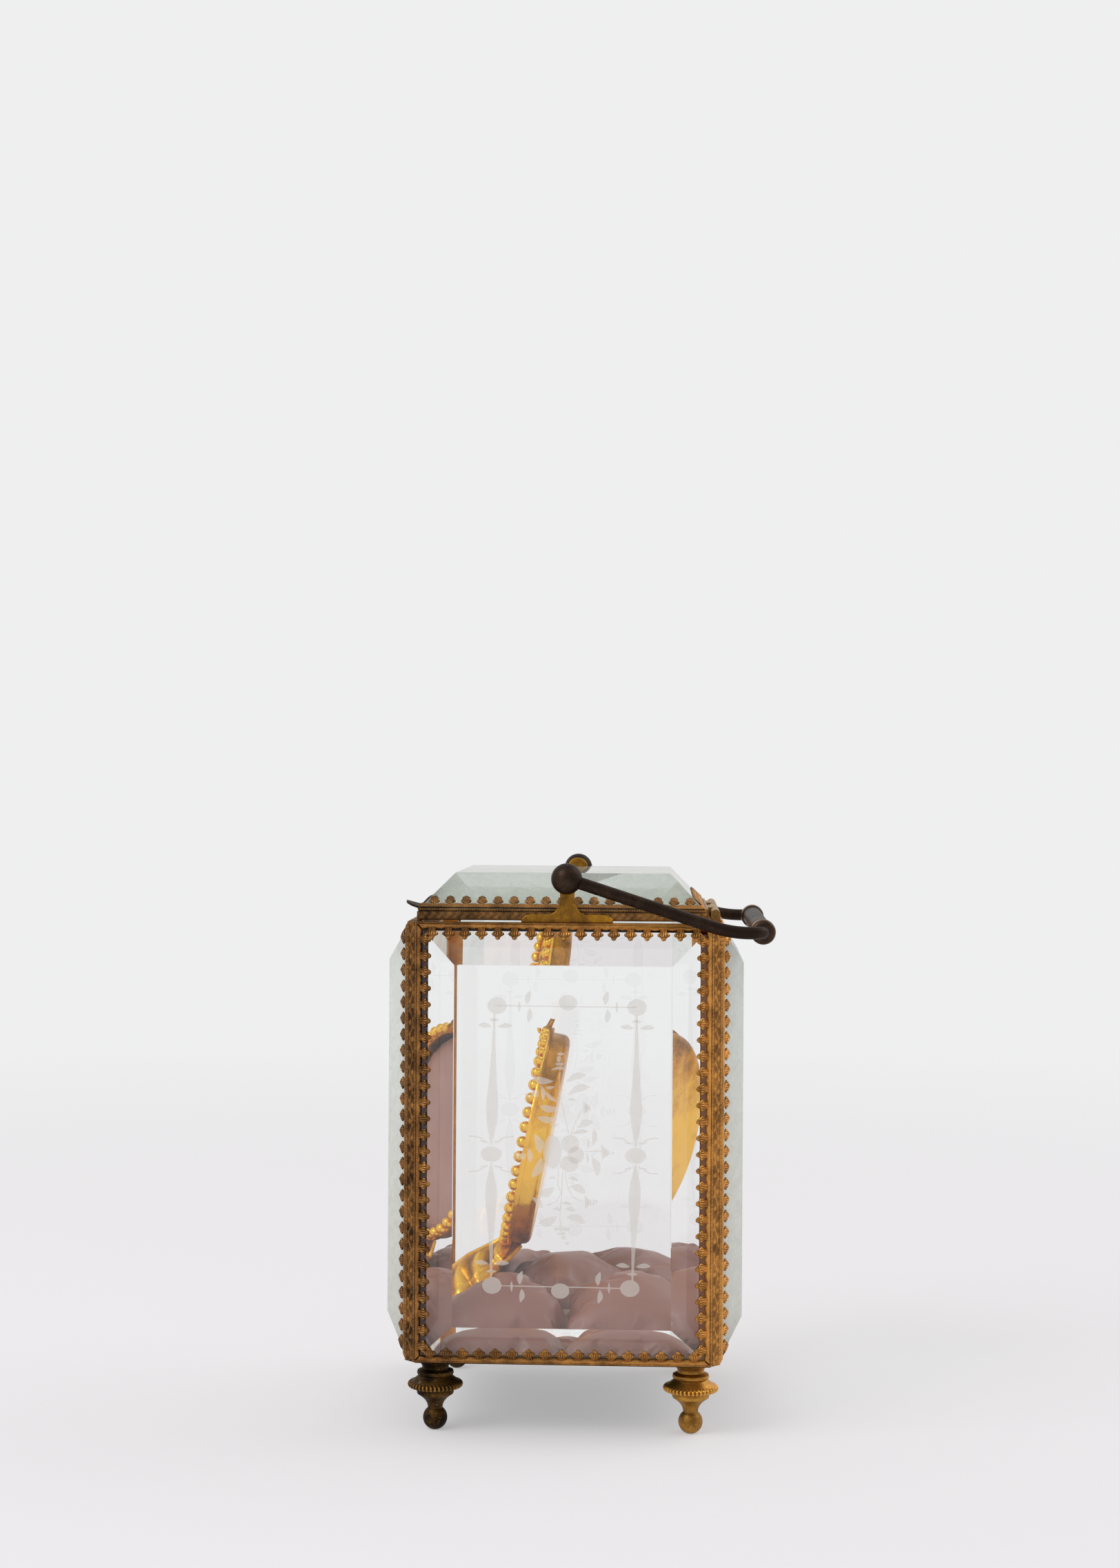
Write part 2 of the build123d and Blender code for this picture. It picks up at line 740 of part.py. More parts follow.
def leaf_plan(wall):
    """The leaf's lobed outline seen square to its slope, drawn in by a wall."""
    way = leaf_toe - leaf_root
    plane = Plane(origin=leaf_root, x_dir=way, z_dir=(0, way.Z, -way.Y))
    one = [(share * way.length, half - wall) for share, arch, half in leaf_stations]
    ends = [(-leaf_root_overlap, one[0][1])] + one[1:]
    points = ends + [(along, -half) for along, half in reversed(ends)]
    return extrude(plane * make_face(Polyline(*points, close=True)), leaf_half)


def leaf_arch(wall, share):
    """The half-round trough of the leaf's section, carried down the slope from a share of the way."""
    way = leaf_toe - leaf_root
    plane = Plane(origin=leaf_root + way * share, x_dir=(1, 0, 0), z_dir=way)
    half = leaf_half - wall
    rise = max(arch for along, arch, width in leaf_stations) - wall
    edges = ThreePointArc((-half, 0), (0, rise), (half, 0)) + Line((half, 0), (-half, 0))
    return extrude(plane * make_face(edges), way.length)


def stand_foot():
    """The cast leaf foot: a lobed leaf, hollow below, and a stud through the cushion."""
    outer = leaf_side(0) & leaf_plan(0) & leaf_arch(0, -leaf_root_overlap)
    hollow = leaf_side(leaf_gauge) & leaf_plan(leaf_gauge) & leaf_arch(leaf_gauge, leaf_neck_share)
    chord_z = leaf_root.Z + stud_share * (leaf_toe.Z - leaf_root.Z)
    stud = Pos(0, stud_y, 0) * column(stud_radius, plate_top, chord_z + stud_radius)
    inside = Pos(0, stud_y, 0) * column(stud_radius, chord_z, stand_z) & outer
    leaf = outer - hollow + stud + inside
    rim_y = cup_half_height + rim_width / 2
    leaf -= ellipse_prism(cup_half_width, cup_half_height, -cup_depth, 0)
    leaf -= ellipse_prism(cup_half_width + rim_width, rim_y, -rim_thickness, rim_thickness)
    reach = bead_radius + press_clearance
    beads_top = rim_thickness + bead_height + press_clearance
    return leaf - ellipse_prism(cup_half_width + reach, cup_half_height + reach, 0, beads_top)


def leaf_bed():
    """The hollow that the leaf foot presses into the cushion."""
    drop = leaf_clearance * sqrt(2)
    front = -cushion_half_y - leaf_clearance
    back = leaf_root.Y + cup_depth
    points = [(leaf_root.Y, leaf_root.Z - drop), (leaf_toe.Y, leaf_toe.Z - drop), (front, leaf_toe.Z - drop)]
    points += [(front, stand_z), (back, stand_z), (back, leaf_root.Z - drop)]
    half = leaf_half + leaf_clearance
    return extrude(Plane.YZ * make_face(Polyline(*points, close=True)), half, both=True)


def stand_cup():
    """The oval cup: a shallow wall, a flat back and a rim flange."""
    body = ellipse_prism(cup_half_width, cup_half_height, -cup_depth, 0)
    body += ellipse_prism(cup_half_width + rim_width / 2, cup_half_height + rim_width / 2, -rim_thickness, 0)
    return body - ellipse_prism(cup_half_width - cup_wall, cup_half_height - cup_wall, cup_wall - cup_depth, 0)


def stand_pad():
    """The silk pad on the cup's floor: an oval of short sides, with a slanted edge."""
    gap = cup_wall + pad_side_gap
    half_x, half_y = cup_half_width - gap, cup_half_height - gap
    turns = [2 * pi * number / pad_sides for number in range(pad_sides)]
    outline = make_face(Polyline(*[(half_x * cos(turn), half_y * sin(turn)) for turn in turns], close=True))
    low = stand_plane.offset(cup_wall - cup_depth)
    side = pad_thickness - pad_shoulder
    return extrude(low * outline, side) + extrude(low.offset(side) * outline, pad_shoulder, taper=pad_taper)


def bead():
    """One cut bead: a six-sided stud, tapered to its top."""
    return extrude(RegularPolygon(bead_radius, 6), bead_height, taper=bead_taper)


def stand_beading():
    """The beaded rim: a flat oval wire with a row of beads, open at the top for the crest."""
    outer_x, outer_y = cup_half_width + rim_width / 2, cup_half_height + rim_width / 2
    ring = ellipse_prism(outer_x, outer_y, 0, rim_thickness)
    ring -= ellipse_prism(outer_x - rim_width, outer_y - rim_width, 0, rim_thickness)
    blank = bead()
    beads = []
    for number in range(1, bead_count):
        turn = 2 * pi * number / bead_count
        place = stand_plane * Pos(cup_half_width * sin(turn), cup_half_height * cos(turn), rim_thickness)
        beads.append(place * Rot(0, 0, -degrees(turn)) * blank)
    return ring + beads


def stand_crest():
    """The small leaf crest that takes the top bead's place."""
    low = cup_half_height - rim_width / 2 + 2 * hook_radius
    points = [
        (0.18, 0.0),
        (0.5, 0.25),
        (0.32, 0.5),
        (0.34, 0.8),
        (0.14, 0.75),
        (0.0, 1.0),
        (-0.14, 0.75),
        (-0.34, 0.8),
        (-0.32, 0.5),
        (-0.5, 0.25),
        (-0.18, 0.0),
    ]
    outline = [(x * crest_width, low + y * crest_height) for x, y in points]
    return prism(outline, stand_plane.offset(rim_thickness), crest_thickness)


def watch_hook():
    """The wire hook for the watch's bow, on the rim under the crest."""
    foot_y = cup_half_height - rim_width / 2 + hook_radius
    bend = rim_thickness + hook_reach
    points = [(0, foot_y, rim_thickness), (0, foot_y, bend), (0, foot_y + hook_rise, bend + hook_rise / 2)]
    path = Polyline(*[stand_plane.from_local_coords(point) for point in points])
    section = Plane(origin=path @ 0, z_dir=path % 0) * Circle(hook_radius)
    return sweep(section, path=path, transition=Transition.RIGHT)


def all_pieces():
    pieces = {}
    for place, shape in four_corners(corner_strip()).items():
        pieces["corner_strip_" + place] = shape
    for place, shape in four_corners(inner_angle()).items():
        pieces["inner_angle_" + place] = shape
    for side, shape in around(top_rail, half_width, half_depth).items():
        pieces["top_rail_" + side] = shape
        pieces["bottom_rail_" + side] = mirror(shape, about=Plane.XY.offset(case_middle))
    for side, shape in around(glass_panel, half_width, half_depth).items():
        pieces["glass_" + side] = shape
    pieces["base_plate"] = base_plate()
    pieces["feet"] = [place * foot() for place in foot_places()]
    pieces["cushion_board"] = cushion_board()
    pieces["cushion"] = cushion()
    pieces["tuft_buttons"] = [Pos(x, y, 0) * tuft_button() for x, y in tuft_places()]
    pieces["stand_cup"] = stand_cup()
    pieces["stand_pad"] = stand_pad()
    pieces["stand_beading"] = stand_beading()
    pieces["stand_crest"] = stand_crest()
    pieces["stand_foot"] = stand_foot()
    pieces["watch_hook"] = watch_hook()
    for side, shape in around(lid_rail, lid_width / 2, lid_depth / 2).items():
        pieces["lid_rail_" + side] = Pos(0, lid_offset, 0) * shape
    pieces["lid_glass"] = lid_glass()
    pieces["lid_tab"] = lid_tab()
    pieces["hinge_leaf_case"] = hinge_leaf_case()
    pieces["hinge_leaf_lid"] = hinge_leaf_lid()
    pieces["hinge_pin"] = hinge_pin()
    right_hand = {
        "brackets": bracket(),
        "pivot_pins": pivot_pin(),
        "handle_balls": handle_ball(),
        "handle_arms": handle_arm(),
        "grip_collars": grip_collar(),
    }
    for name, shape in right_hand.items():
        pieces[name] = [shape, mirror(shape, about=Plane.YZ)]
    pieces["grip_barrel"] = grip_barrel()
    return pieces


os.makedirs("parts", exist_ok=True)
for name, shape in all_pieces().items():
    solids = shape if isinstance(shape, list) else [shape]
    placed = [row_shift * solid for solid in solids]
    whole = placed[0] if len(placed) == 1 else Compound(children=placed)
    export_step(whole, "parts/" + name + ".step")
print("row shift in y", round(row_shift.position.Y, 4))
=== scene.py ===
import bpy
import math
import numpy as np
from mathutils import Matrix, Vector


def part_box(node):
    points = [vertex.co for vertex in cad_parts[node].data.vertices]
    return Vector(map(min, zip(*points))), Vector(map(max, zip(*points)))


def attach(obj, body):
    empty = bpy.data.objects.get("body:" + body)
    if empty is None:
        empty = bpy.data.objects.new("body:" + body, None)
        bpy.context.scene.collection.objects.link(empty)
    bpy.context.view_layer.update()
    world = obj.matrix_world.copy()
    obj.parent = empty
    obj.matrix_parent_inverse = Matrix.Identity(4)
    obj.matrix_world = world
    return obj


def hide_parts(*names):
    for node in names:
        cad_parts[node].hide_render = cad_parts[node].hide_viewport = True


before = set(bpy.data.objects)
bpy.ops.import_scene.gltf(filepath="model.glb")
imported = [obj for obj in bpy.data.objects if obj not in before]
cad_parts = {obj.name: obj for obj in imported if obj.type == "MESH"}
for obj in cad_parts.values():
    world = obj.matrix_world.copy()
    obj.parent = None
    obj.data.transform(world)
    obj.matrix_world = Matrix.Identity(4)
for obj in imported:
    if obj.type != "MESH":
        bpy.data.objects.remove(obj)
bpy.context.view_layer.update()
print("frame loaded")

mm = 0.001  # every size below is in millimetres

plateLow, plateHigh = (np.array(corner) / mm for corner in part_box("base_plate"))
caseMiddle = np.array([0.0, (plateLow[1] + plateHigh[1]) / 2, 0.0])


# The corners of a CAD node in millimetres, measured from the middle of the case
def nodeBox(node):
    low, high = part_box(node)
    return np.array(low) / mm - caseMiddle, np.array(high) / mm - caseMiddle


# Shapes
# A shape is an array of points, an array of four-sided faces and a list of faces with other counts of corners


# Turns a closed shape's faces outwards: its signed volume is the sum of the corner products of its faces
def outward(shape):
    points, quads, polygons = shape
    a, b, c, d = (points[quads[:, k]] for k in range(4))
    volume = np.einsum("ij,ij->i", a, np.cross(b, c)).sum() + np.einsum("ij,ij->i", a, np.cross(c, d)).sum()
    for face in polygons:
        fan = points[np.array(face)]
        hub = np.broadcast_to(fan[0], fan[2:].shape)
        volume += np.einsum("ij,ij->i", hub, np.cross(fan[1:-1], fan[2:])).sum()
    if volume < 0:
        return points, quads[:, ::-1], [face[::-1] for face in polygons]
    return shape


# A grid of points as a skin: rows follow one another, columns may close on themselves, ends may be capped
def skin(grid, closeColumns=True, capStart=False, capEnd=False, closeRows=False):
    rows, columns = grid.shape[:2]
    index = np.arange(rows * columns).reshape(rows, columns)
    if closeColumns:
        index = np.concatenate([index, index[:, :1]], 1)
    if closeRows:
        index = np.concatenate([index, index[:1]], 0)
    quads = np.stack([index[:-1, :-1], index[:-1, 1:], index[1:, 1:], index[1:, :-1]], -1).reshape(-1, 4)
    polygons = []
    if capStart:
        polygons.append(list(range(columns))[::-1])
    if capEnd:
        polygons.append(list(range((rows - 1) * columns, rows * columns)))
    points = grid.reshape(-1, 3)
    return outward((points, quads, polygons))


# Several shapes as one
def joined(shapes):
    points, quads, polygons, start = [], [], [], 0
    for shape in shapes:
        points.append(shape[0])
        quads.append(shape[1] + start)
        polygons += [[corner + start for corner in face] for face in shape[2]]
        start += len(shape[0])
    return np.concatenate(points), np.concatenate(quads), polygons


# The shape in other axes: each point becomes origin + x * axes[0] + y * axes[1] + z * axes[2]
def placed(shape, origin, axes):
    axes = np.array(axes, float)
    points = np.array(origin, float) + shape[0] @ axes
    if np.linalg.det(axes) < 0:
        return points, shape[1][:, ::-1], [face[::-1] for face in shape[2]]
    return points, shape[1], shape[2]


# Copies of one shape, each moved by one of the offsets
def repeated(shape, offsets):
    count, size = len(offsets), len(shape[0])
    points = (shape[0][None] + offsets[:, None]).reshape(-1, 3)
    steps = np.arange(count) * size
    quads = (shape[1][None] + steps[:, None, None]).reshape(-1, 4)
    polygons = [[corner + step for corner in face] for step in steps for face in shape[2]]
    return points, quads, polygons


# A turned form about Z: each (radius, height) of the outline is carried round a circle
def lathe(outline, segments):
    outline = np.array(outline, float)
    turn = np.arange(segments) * 2 * np.pi / segments
    radius, height = outline[:, :1], outline[:, 1:]
    grid = np.stack([radius * np.cos(turn), radius * np.sin(turn), height + 0 * turn], -1)
    return skin(grid, capStart=True, capEnd=True)


# A ball's outline from pole to pole: radius times the cosine and the sine of its latitude
def ballOutline(radius, rows=24, pole=0.01):
    turn = np.linspace(-np.pi / 2, np.pi / 2, rows)
    return np.stack([np.maximum(radius * np.cos(turn), pole), radius * np.sin(turn)], 1)


# A round bar: a circle is carried along a path, square to it and turned to one fixed side direction
def tube(path, radius, segments, side=(0, 0, 1)):
    path = np.array(path, float)
    along = np.gradient(path, axis=0)
    along /= np.linalg.norm(along, axis=1, keepdims=True)
    across = np.cross(along, np.array(side, float))
    across /= np.linalg.norm(across, axis=1, keepdims=True)
    up = np.cross(across, along)
    turn = np.arange(segments) * 2 * np.pi / segments
    ring = across[:, None] * np.cos(turn)[None, :, None] + up[:, None] * np.sin(turn)[None, :, None]
    return skin(path[:, None] + radius * ring, capStart=True, capEnd=True)


# A flat polygon given a depth along Z: its outline is drawn in by a small chamfer at the two faces
def plate(outline, low, high, edge):
    outline = np.array(outline, float)
    before, after = np.roll(outline, 1, 0), np.roll(outline, -1, 0)
    way = after - before
    way /= np.linalg.norm(way, axis=1, keepdims=True) + 1e-9
    area = (outline[:, 0] * after[:, 1] - after[:, 0] * outline[:, 1]).sum()
    inward = np.stack([-way[:, 1], way[:, 0]], 1) * np.sign(area)
    drawn = outline + inward * edge
    levels = [(drawn, low), (outline, low + edge), (outline, high - edge), (drawn, high)]
    grid = np.stack([np.column_stack([flat, np.full(len(flat), level)]) for flat, level in levels])
    return skin(grid, capStart=True, capEnd=True)


# A box between two corners
def block(low, high, edge=0.04):
    (x0, y0, z0), (x1, y1, z1) = low, high
    return plate([(x0, y0), (x1, y0), (x1, y1), (x0, y1)], z0, z1, edge)


# Points taken evenly by length along the straight runs between corner values
def evenly(values, count):
    values = np.array(values, float)
    step = np.concatenate([[0], np.cumsum(np.linalg.norm(np.diff(values, axis=0), axis=1))])
    even = np.linspace(0, step[-1], count)
    return np.stack([np.interp(even, step, values[:, k]) for k in range(values.shape[1])], 1)


# Puts a shape into the scene as a finished piece: in metres, at the origin, riding on its body
def addPiece(name, shape, body, material, nodes=(), smooth=True, relief=None):
    points, quads, polygons = shape
    world = (points + caseMiddle) * mm
    mesh = bpy.data.meshes.new(name)
    if polygons:
        mesh.from_pydata(world.tolist(), [], quads.tolist() + polygons)
    else:
        mesh.vertices.add(len(world))
        mesh.vertices.foreach_set("co", world.ravel())
        mesh.loops.add(quads.size)
        mesh.loops.foreach_set("vertex_index", quads.ravel().astype(np.int32))
        mesh.polygons.add(len(quads))
        mesh.polygons.foreach_set("loop_start", np.arange(0, quads.size, 4, dtype=np.int32))
    mesh.update(calc_edges=True)
    mesh.validate()
    mesh.polygons.foreach_set("use_smooth", np.full(len(mesh.polygons), smooth))
    if relief is not None:
        layer = mesh.attributes.new("relief", "FLOAT", "POINT")
        layer.data.foreach_set("value", relief.astype(np.float32))
    piece = bpy.data.objects.new(name, mesh)
    bpy.context.scene.collection.objects.link(piece)
    mesh.materials.append(material)
    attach(piece, body)
    if nodes:
        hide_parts(*nodes)
    return piece


# Keeps hard edges on a smooth piece where its faces meet at more than the given angle
def hardEdges(piece, angle):
    piece.data.set_sharp_from_angle(angle=math.radians(angle))


# Materials


# An sRGB hex colour as the linear values that a shader takes
def colour(code):
    parts = np.array([int(code[k:k + 2], 16) for k in (1, 3, 5)]) / 255
    linear = np.where(parts <= 0.04045, parts / 12.92, ((parts + 0.055) / 1.055) ** 2.4)
    return (*linear.tolist(), 1.0)


# One node with its settings; an input is a value or a link, and a colour ramp's stops are (place, colour)
def addNode(tree, kind, inputs=(), stops=(), **settings):
    node = tree.nodes.new(kind)
    for key, value in settings.items():
        setattr(node, key, value)
    for socket, value in dict(inputs).items():
        if isinstance(value, bpy.types.NodeSocket):
            tree.links.new(value, node.inputs[socket])
        else:
            node.inputs[socket].default_value = value
    if stops:
        elements = node.color_ramp.elements
        while len(elements) < len(stops):
            elements.new(0.5)
        for element, (place, code) in zip(elements, stops):
            element.position = place
            element.color = colour(code)
    return node


def newMaterial(name):
    material = bpy.data.materials.new(name)
    material.use_nodes = True
    material.node_tree.nodes.clear()
    return material, material.node_tree


# What the patina of every brass piece shares, sizes in millimetres
patina = {
    "fromMiddle": 30.0,
    "dirt": 0.95,
    "verdigris": "#5F7A68",
    "verdigrisSize": 1.6,
    "tarnishRoughness": 0.28,
    "grainDepth": 0.04,
    "dentSize": 2.2,
}


# Old gilt brass: the gilding stays bright on what stands proud and towards the hinge; brown tarnish and
# dirt gather in the hollows and in cloudy patches about 4 mm across, with small specks of verdigris in
# them. The wear is worn, plus hollow times the relief, plus patches, grain and a slope from front to back,
# less the dirt, and it picks the colour between dark, middle and bright
def oldBrass(name, bright, middle, dark, worn=0.5, hollow=0.6, roughness=0.34, grain=0.35, patch=4.0,
             backwards=0.16, verdigris=0.25, dents=0.0, metal=1.0):
    material, tree = newMaterial(name)
    place = addNode(tree, "ShaderNodeTexCoord").outputs["Object"]
    cloud = addNode(tree, "ShaderNodeTexNoise", {
        "Vector": place, "Scale": 1 / (patch * mm), "Detail": 6.0, "Roughness": 0.62,
    }).outputs["Fac"]
    speck = addNode(tree, "ShaderNodeTexNoise", {
        "Vector": place, "Scale": 1 / (grain * mm), "Detail": 3.0, "Roughness": 0.7,
    }).outputs["Fac"]
    relief = addNode(tree, "ShaderNodeAttribute", attribute_name="relief").outputs["Fac"]
    wear = addNode(tree, "ShaderNodeMath", {0: relief, 1: hollow, 2: worn},
                   operation="MULTIPLY_ADD").outputs[0]
    wear = addNode(tree, "ShaderNodeMath", {0: cloud, 1: 1.1, 2: wear}, operation="MULTIPLY_ADD").outputs[0]
    wear = addNode(tree, "ShaderNodeMath", {0: speck, 1: 0.5, 2: wear}, operation="MULTIPLY_ADD").outputs[0]
    parts = addNode(tree, "ShaderNodeSeparateXYZ", {"Vector": place})
    slope = addNode(tree, "ShaderNodeMapRange", {
        "Value": parts.outputs["Y"], "From Min": -patina["fromMiddle"] * mm,
        "From Max": patina["fromMiddle"] * mm, "To Min": -backwards, "To Max": backwards,
    }).outputs[0]
    wear = addNode(tree, "ShaderNodeMath", {0: wear, 1: slope}, operation="ADD").outputs[0]
    wear = addNode(tree, "ShaderNodeMath", {0: wear, 1: patina["dirt"]}, operation="SUBTRACT",
                   use_clamp=True).outputs[0]
    tint = addNode(tree, "ShaderNodeValToRGB", {"Fac": wear},
                   stops=[(0.0, dark), (0.42, middle), (0.8, bright)]).outputs["Color"]
    spot = addNode(tree, "ShaderNodeTexNoise", {
        "Vector": place, "Scale": 1 / (patina["verdigrisSize"] * mm), "Detail": 5.0, "Roughness": 0.75,
    }).outputs["Fac"]
    spot = addNode(tree, "ShaderNodeMapRange", {"Value": spot, "From Min": 0.60, "From Max": 0.68}).outputs[0]
    green = addNode(tree, "ShaderNodeMapRange", {
        "Value": wear, "From Min": 0.15, "From Max": 0.45, "To Min": verdigris * 2.4, "To Max": 0.0,
    }).outputs[0]
    green = addNode(tree, "ShaderNodeMath", {0: green, 1: spot}, operation="MULTIPLY",
                    use_clamp=True).outputs[0]
    tint = addNode(tree, "ShaderNodeMix", {"Factor": green, 6: tint, 7: colour(patina["verdigris"])},
                   data_type="RGBA").outputs[2]
    rough = addNode(tree, "ShaderNodeMapRange", {
        "Value": wear, "From Min": 0.0, "From Max": 1.0, "To Min": roughness + patina["tarnishRoughness"],
        "To Max": roughness,
    }).outputs[0]
    bump = addNode(tree, "ShaderNodeBump", {
        "Height": speck, "Distance": patina["grainDepth"] * mm, "Strength": 0.5,
    }).outputs["Normal"]
    dent = addNode(tree, "ShaderNodeTexNoise", {
        "Vector": place, "Scale": 1 / (patina["dentSize"] * mm), "Detail": 2.0,
    }).outputs["Fac"]
    bump = addNode(tree, "ShaderNodeBump", {
        "Height": dent, "Distance": dents * mm, "Strength": 1.0, "Normal": bump,
    }).outputs["Normal"]
    share = addNode(tree, "ShaderNodeMapRange", {"Value": green, "To Min": metal, "To Max": 0.0}).outputs[0]
    shader = addNode(tree, "ShaderNodeBsdfPrincipled", {
        "Base Color": tint, "Metallic": share, "Roughness": rough, "Normal": bump,
    })
    addNode(tree, "ShaderNodeOutputMaterial", {"Surface": shader.outputs["BSDF"]})
    return material


# What all the glass shares. A ray that has turned more often than deepest goes straight through, so that the
# edges don't go black
glassware = {
    "cloudSize": 9.0,
    "powder": "#E4E2DC",
    "shadow": "#F3F6F3",
    "depthTint": "#DCEBE2",
    "depthStrength": 3.0,
    "deepest": 4.5,
}


# Thick glass, ground and polished: clear, faintly green in its depth, with whitish dust in thin cloudy
# patches. The side panels' bevels bend the view strongly, so their index is that of a dense lead glass, and
# their reflection is held to that of a plain one. Where a face is seen slantwise, between the two ends of
# veil, a whitish film in the colour film covers up to the share most of it, and near edge-on only the share
# edgeOn: painted reflection of the pale room, blotched like handling grease
def plateGlass(name, tint, dust=0.03, index=1.52, mirror="#FFFFFF", veil=(0.34, 0.5), film="#CBD6CE",
               most=0.0, edgeOn=1.0):
    material, tree = newMaterial(name)
    place = addNode(tree, "ShaderNodeTexCoord").outputs["Object"]
    cloud = addNode(tree, "ShaderNodeTexNoise", {
        "Vector": place, "Scale": 1 / (glassware["cloudSize"] * mm), "Detail": 8.0, "Roughness": 0.75,
    }).outputs["Fac"]
    motes = addNode(tree, "ShaderNodeMapRange", {
        "Value": cloud, "From Min": 0.52, "From Max": 0.85, "To Min": 0.0, "To Max": dust * 4,
    }).outputs[0]
    # Painted reflection: a whitish film is mixed in by how slantwise the face is seen, blotched like handling
    # grease
    slant = addNode(tree, "ShaderNodeLayerWeight", {"Blend": 0.5}).outputs["Facing"]
    rising = addNode(tree, "ShaderNodeMapRange", {
        "Value": slant, "From Min": veil[0], "From Max": veil[1], "To Min": 0.0, "To Max": most,
    }).outputs[0]
    falling = addNode(tree, "ShaderNodeMapRange", {
        "Value": slant, "From Min": 0.72, "From Max": 0.92, "To Min": 1.0, "To Max": edgeOn,
    }).outputs[0]
    paintedGlareAndGrease = addNode(tree, "ShaderNodeMath", {0: rising, 1: falling}, operation="MULTIPLY").outputs[0]
    blotch = addNode(tree, "ShaderNodeMapRange", {
        "Value": cloud, "From Min": 0.3, "From Max": 0.7, "To Min": 0.65, "To Max": 1.15,
    }).outputs[0]
    paintedGlareAndGrease = addNode(tree, "ShaderNodeMath", {0: paintedGlareAndGrease, 1: blotch}, operation="MULTIPLY",
                     use_clamp=True).outputs[0]
    glass = addNode(tree, "ShaderNodeBsdfPrincipled", {
        "Base Color": colour(tint), "Transmission Weight": 1.0, "Roughness": 0.0, "IOR": index,
        "Specular Tint": colour(mirror),
    })
    powder = addNode(tree, "ShaderNodeBsdfDiffuse", {"Color": colour(glassware["powder"])})
    dusty = addNode(tree, "ShaderNodeMixShader", {"Fac": motes, 1: glass.outputs[0], 2: powder.outputs[0]})
    near = addNode(tree, "ShaderNodeBsdfDiffuse", {"Color": colour(film)})
    behind = addNode(tree, "ShaderNodeBsdfTranslucent", {"Color": colour(film)})
    glareFilm = addNode(tree, "ShaderNodeMixShader", {"Fac": 0.5, 1: near.outputs[0], 2: behind.outputs[0]})
    withGlareFilm = addNode(tree, "ShaderNodeMixShader", {"Fac": paintedGlareAndGrease, 1: dusty.outputs[0], 2: glareFilm.outputs[0]})
    clear = addNode(tree, "ShaderNodeBsdfTransparent", {"Color": colour(glassware["shadow"])})
    ray = addNode(tree, "ShaderNodeLightPath")
    deep = addNode(tree, "ShaderNodeMath", {0: ray.outputs["Ray Depth"], 1: glassware["deepest"]},
                   operation="GREATER_THAN")
    straight = addNode(tree, "ShaderNodeMath", {0: ray.outputs["Is Shadow Ray"], 1: deep.outputs[0]},
                       operation="MAXIMUM")
    mix = addNode(tree, "ShaderNodeMixShader", {
        "Fac": straight.outputs[0], 1: withGlareFilm.outputs[0], 2: clear.outputs[0],
    })
    depth = addNode(tree, "ShaderNodeVolumeAbsorption", {
        "Color": colour(glassware["depthTint"]), "Density": glassware["depthStrength"],
    })
    addNode(tree, "ShaderNodeOutputMaterial", {"Surface": mix.outputs[0], "Volume": depth.outputs[0]})
    return material


# Wheel-cut glass left unpolished: a matt white mark, and cover is the share of the view that it hides
def frostedCut(name, cover):
    material, tree = newMaterial(name)
    matt = addNode(tree, "ShaderNodeBsdfDiffuse", {"Color": colour("#F4EFEA")})
    through = addNode(tree, "ShaderNodeBsdfTranslucent", {"Color": colour("#F4EFEA")})
    white = addNode(tree, "ShaderNodeMixShader", {"Fac": 0.35, 1: matt.outputs[0], 2: through.outputs[0]})
    clear = addNode(tree, "ShaderNodeBsdfTransparent")
    mix = addNode(tree, "ShaderNodeMixShader", {"Fac": cover, 1: clear.outputs[0], 2: white.outputs[0]})
    addNode(tree, "ShaderNodeOutputMaterial", {"Surface": mix.outputs[0]})
    return material


# Silk satin, woven with long floats: a soft sheen, fine lines along the weave, cloudy patches of dust, and
# painted shade and painted highlight from the relief: dark where it is low, light where it is high. The
# weave is the thread spacing, drawn coarser than the real one so that it shows
def silkSatin(name, base, dark, light, weave=0.35, dustSize=14.0, floatLength=9.0):
    material, tree = newMaterial(name)
    place = addNode(tree, "ShaderNodeTexCoord").outputs["Object"]
    cloud = addNode(tree, "ShaderNodeTexNoise", {
        "Vector": place, "Scale": 1 / (dustSize * mm), "Detail": 5.0, "Roughness": 0.6,
    }).outputs["Fac"]
    relief = addNode(tree, "ShaderNodeAttribute", attribute_name="relief").outputs["Fac"]
    height = addNode(tree, "ShaderNodeMath", {0: cloud, 1: 0.5, 2: relief},
                     operation="MULTIPLY_ADD").outputs[0]
    # Painted shade and highlight: on the cushion the relief picks dark in the seams and low sides, light on
    # the pillows
    tint = addNode(tree, "ShaderNodeValToRGB", {"Fac": height},
                   stops=[(0.1, dark), (0.62, base), (1.0, light)]).outputs["Color"]
    stretch = addNode(tree, "ShaderNodeMapping", {
        "Vector": place, "Scale": (1 / (weave * mm), 1 / (floatLength * mm), 1 / (weave * mm)),
    })
    thread = addNode(tree, "ShaderNodeTexNoise", {"Vector": stretch.outputs[0], "Scale": 1.0, "Detail": 2.0})
    bump = addNode(tree, "ShaderNodeBump", {
        "Height": thread.outputs["Fac"], "Distance": 0.05 * mm, "Strength": 0.6,
    })
    shader = addNode(tree, "ShaderNodeBsdfPrincipled", {
        "Base Color": tint, "Roughness": 0.42, "Normal": bump.outputs["Normal"], "Sheen Weight": 0.22,
        "Sheen Roughness": 0.35, "Sheen Tint": colour(light), "Specular IOR Level": 0.55,
    })
    addNode(tree, "ShaderNodeOutputMaterial", {"Surface": shader.outputs["BSDF"]})
    return material


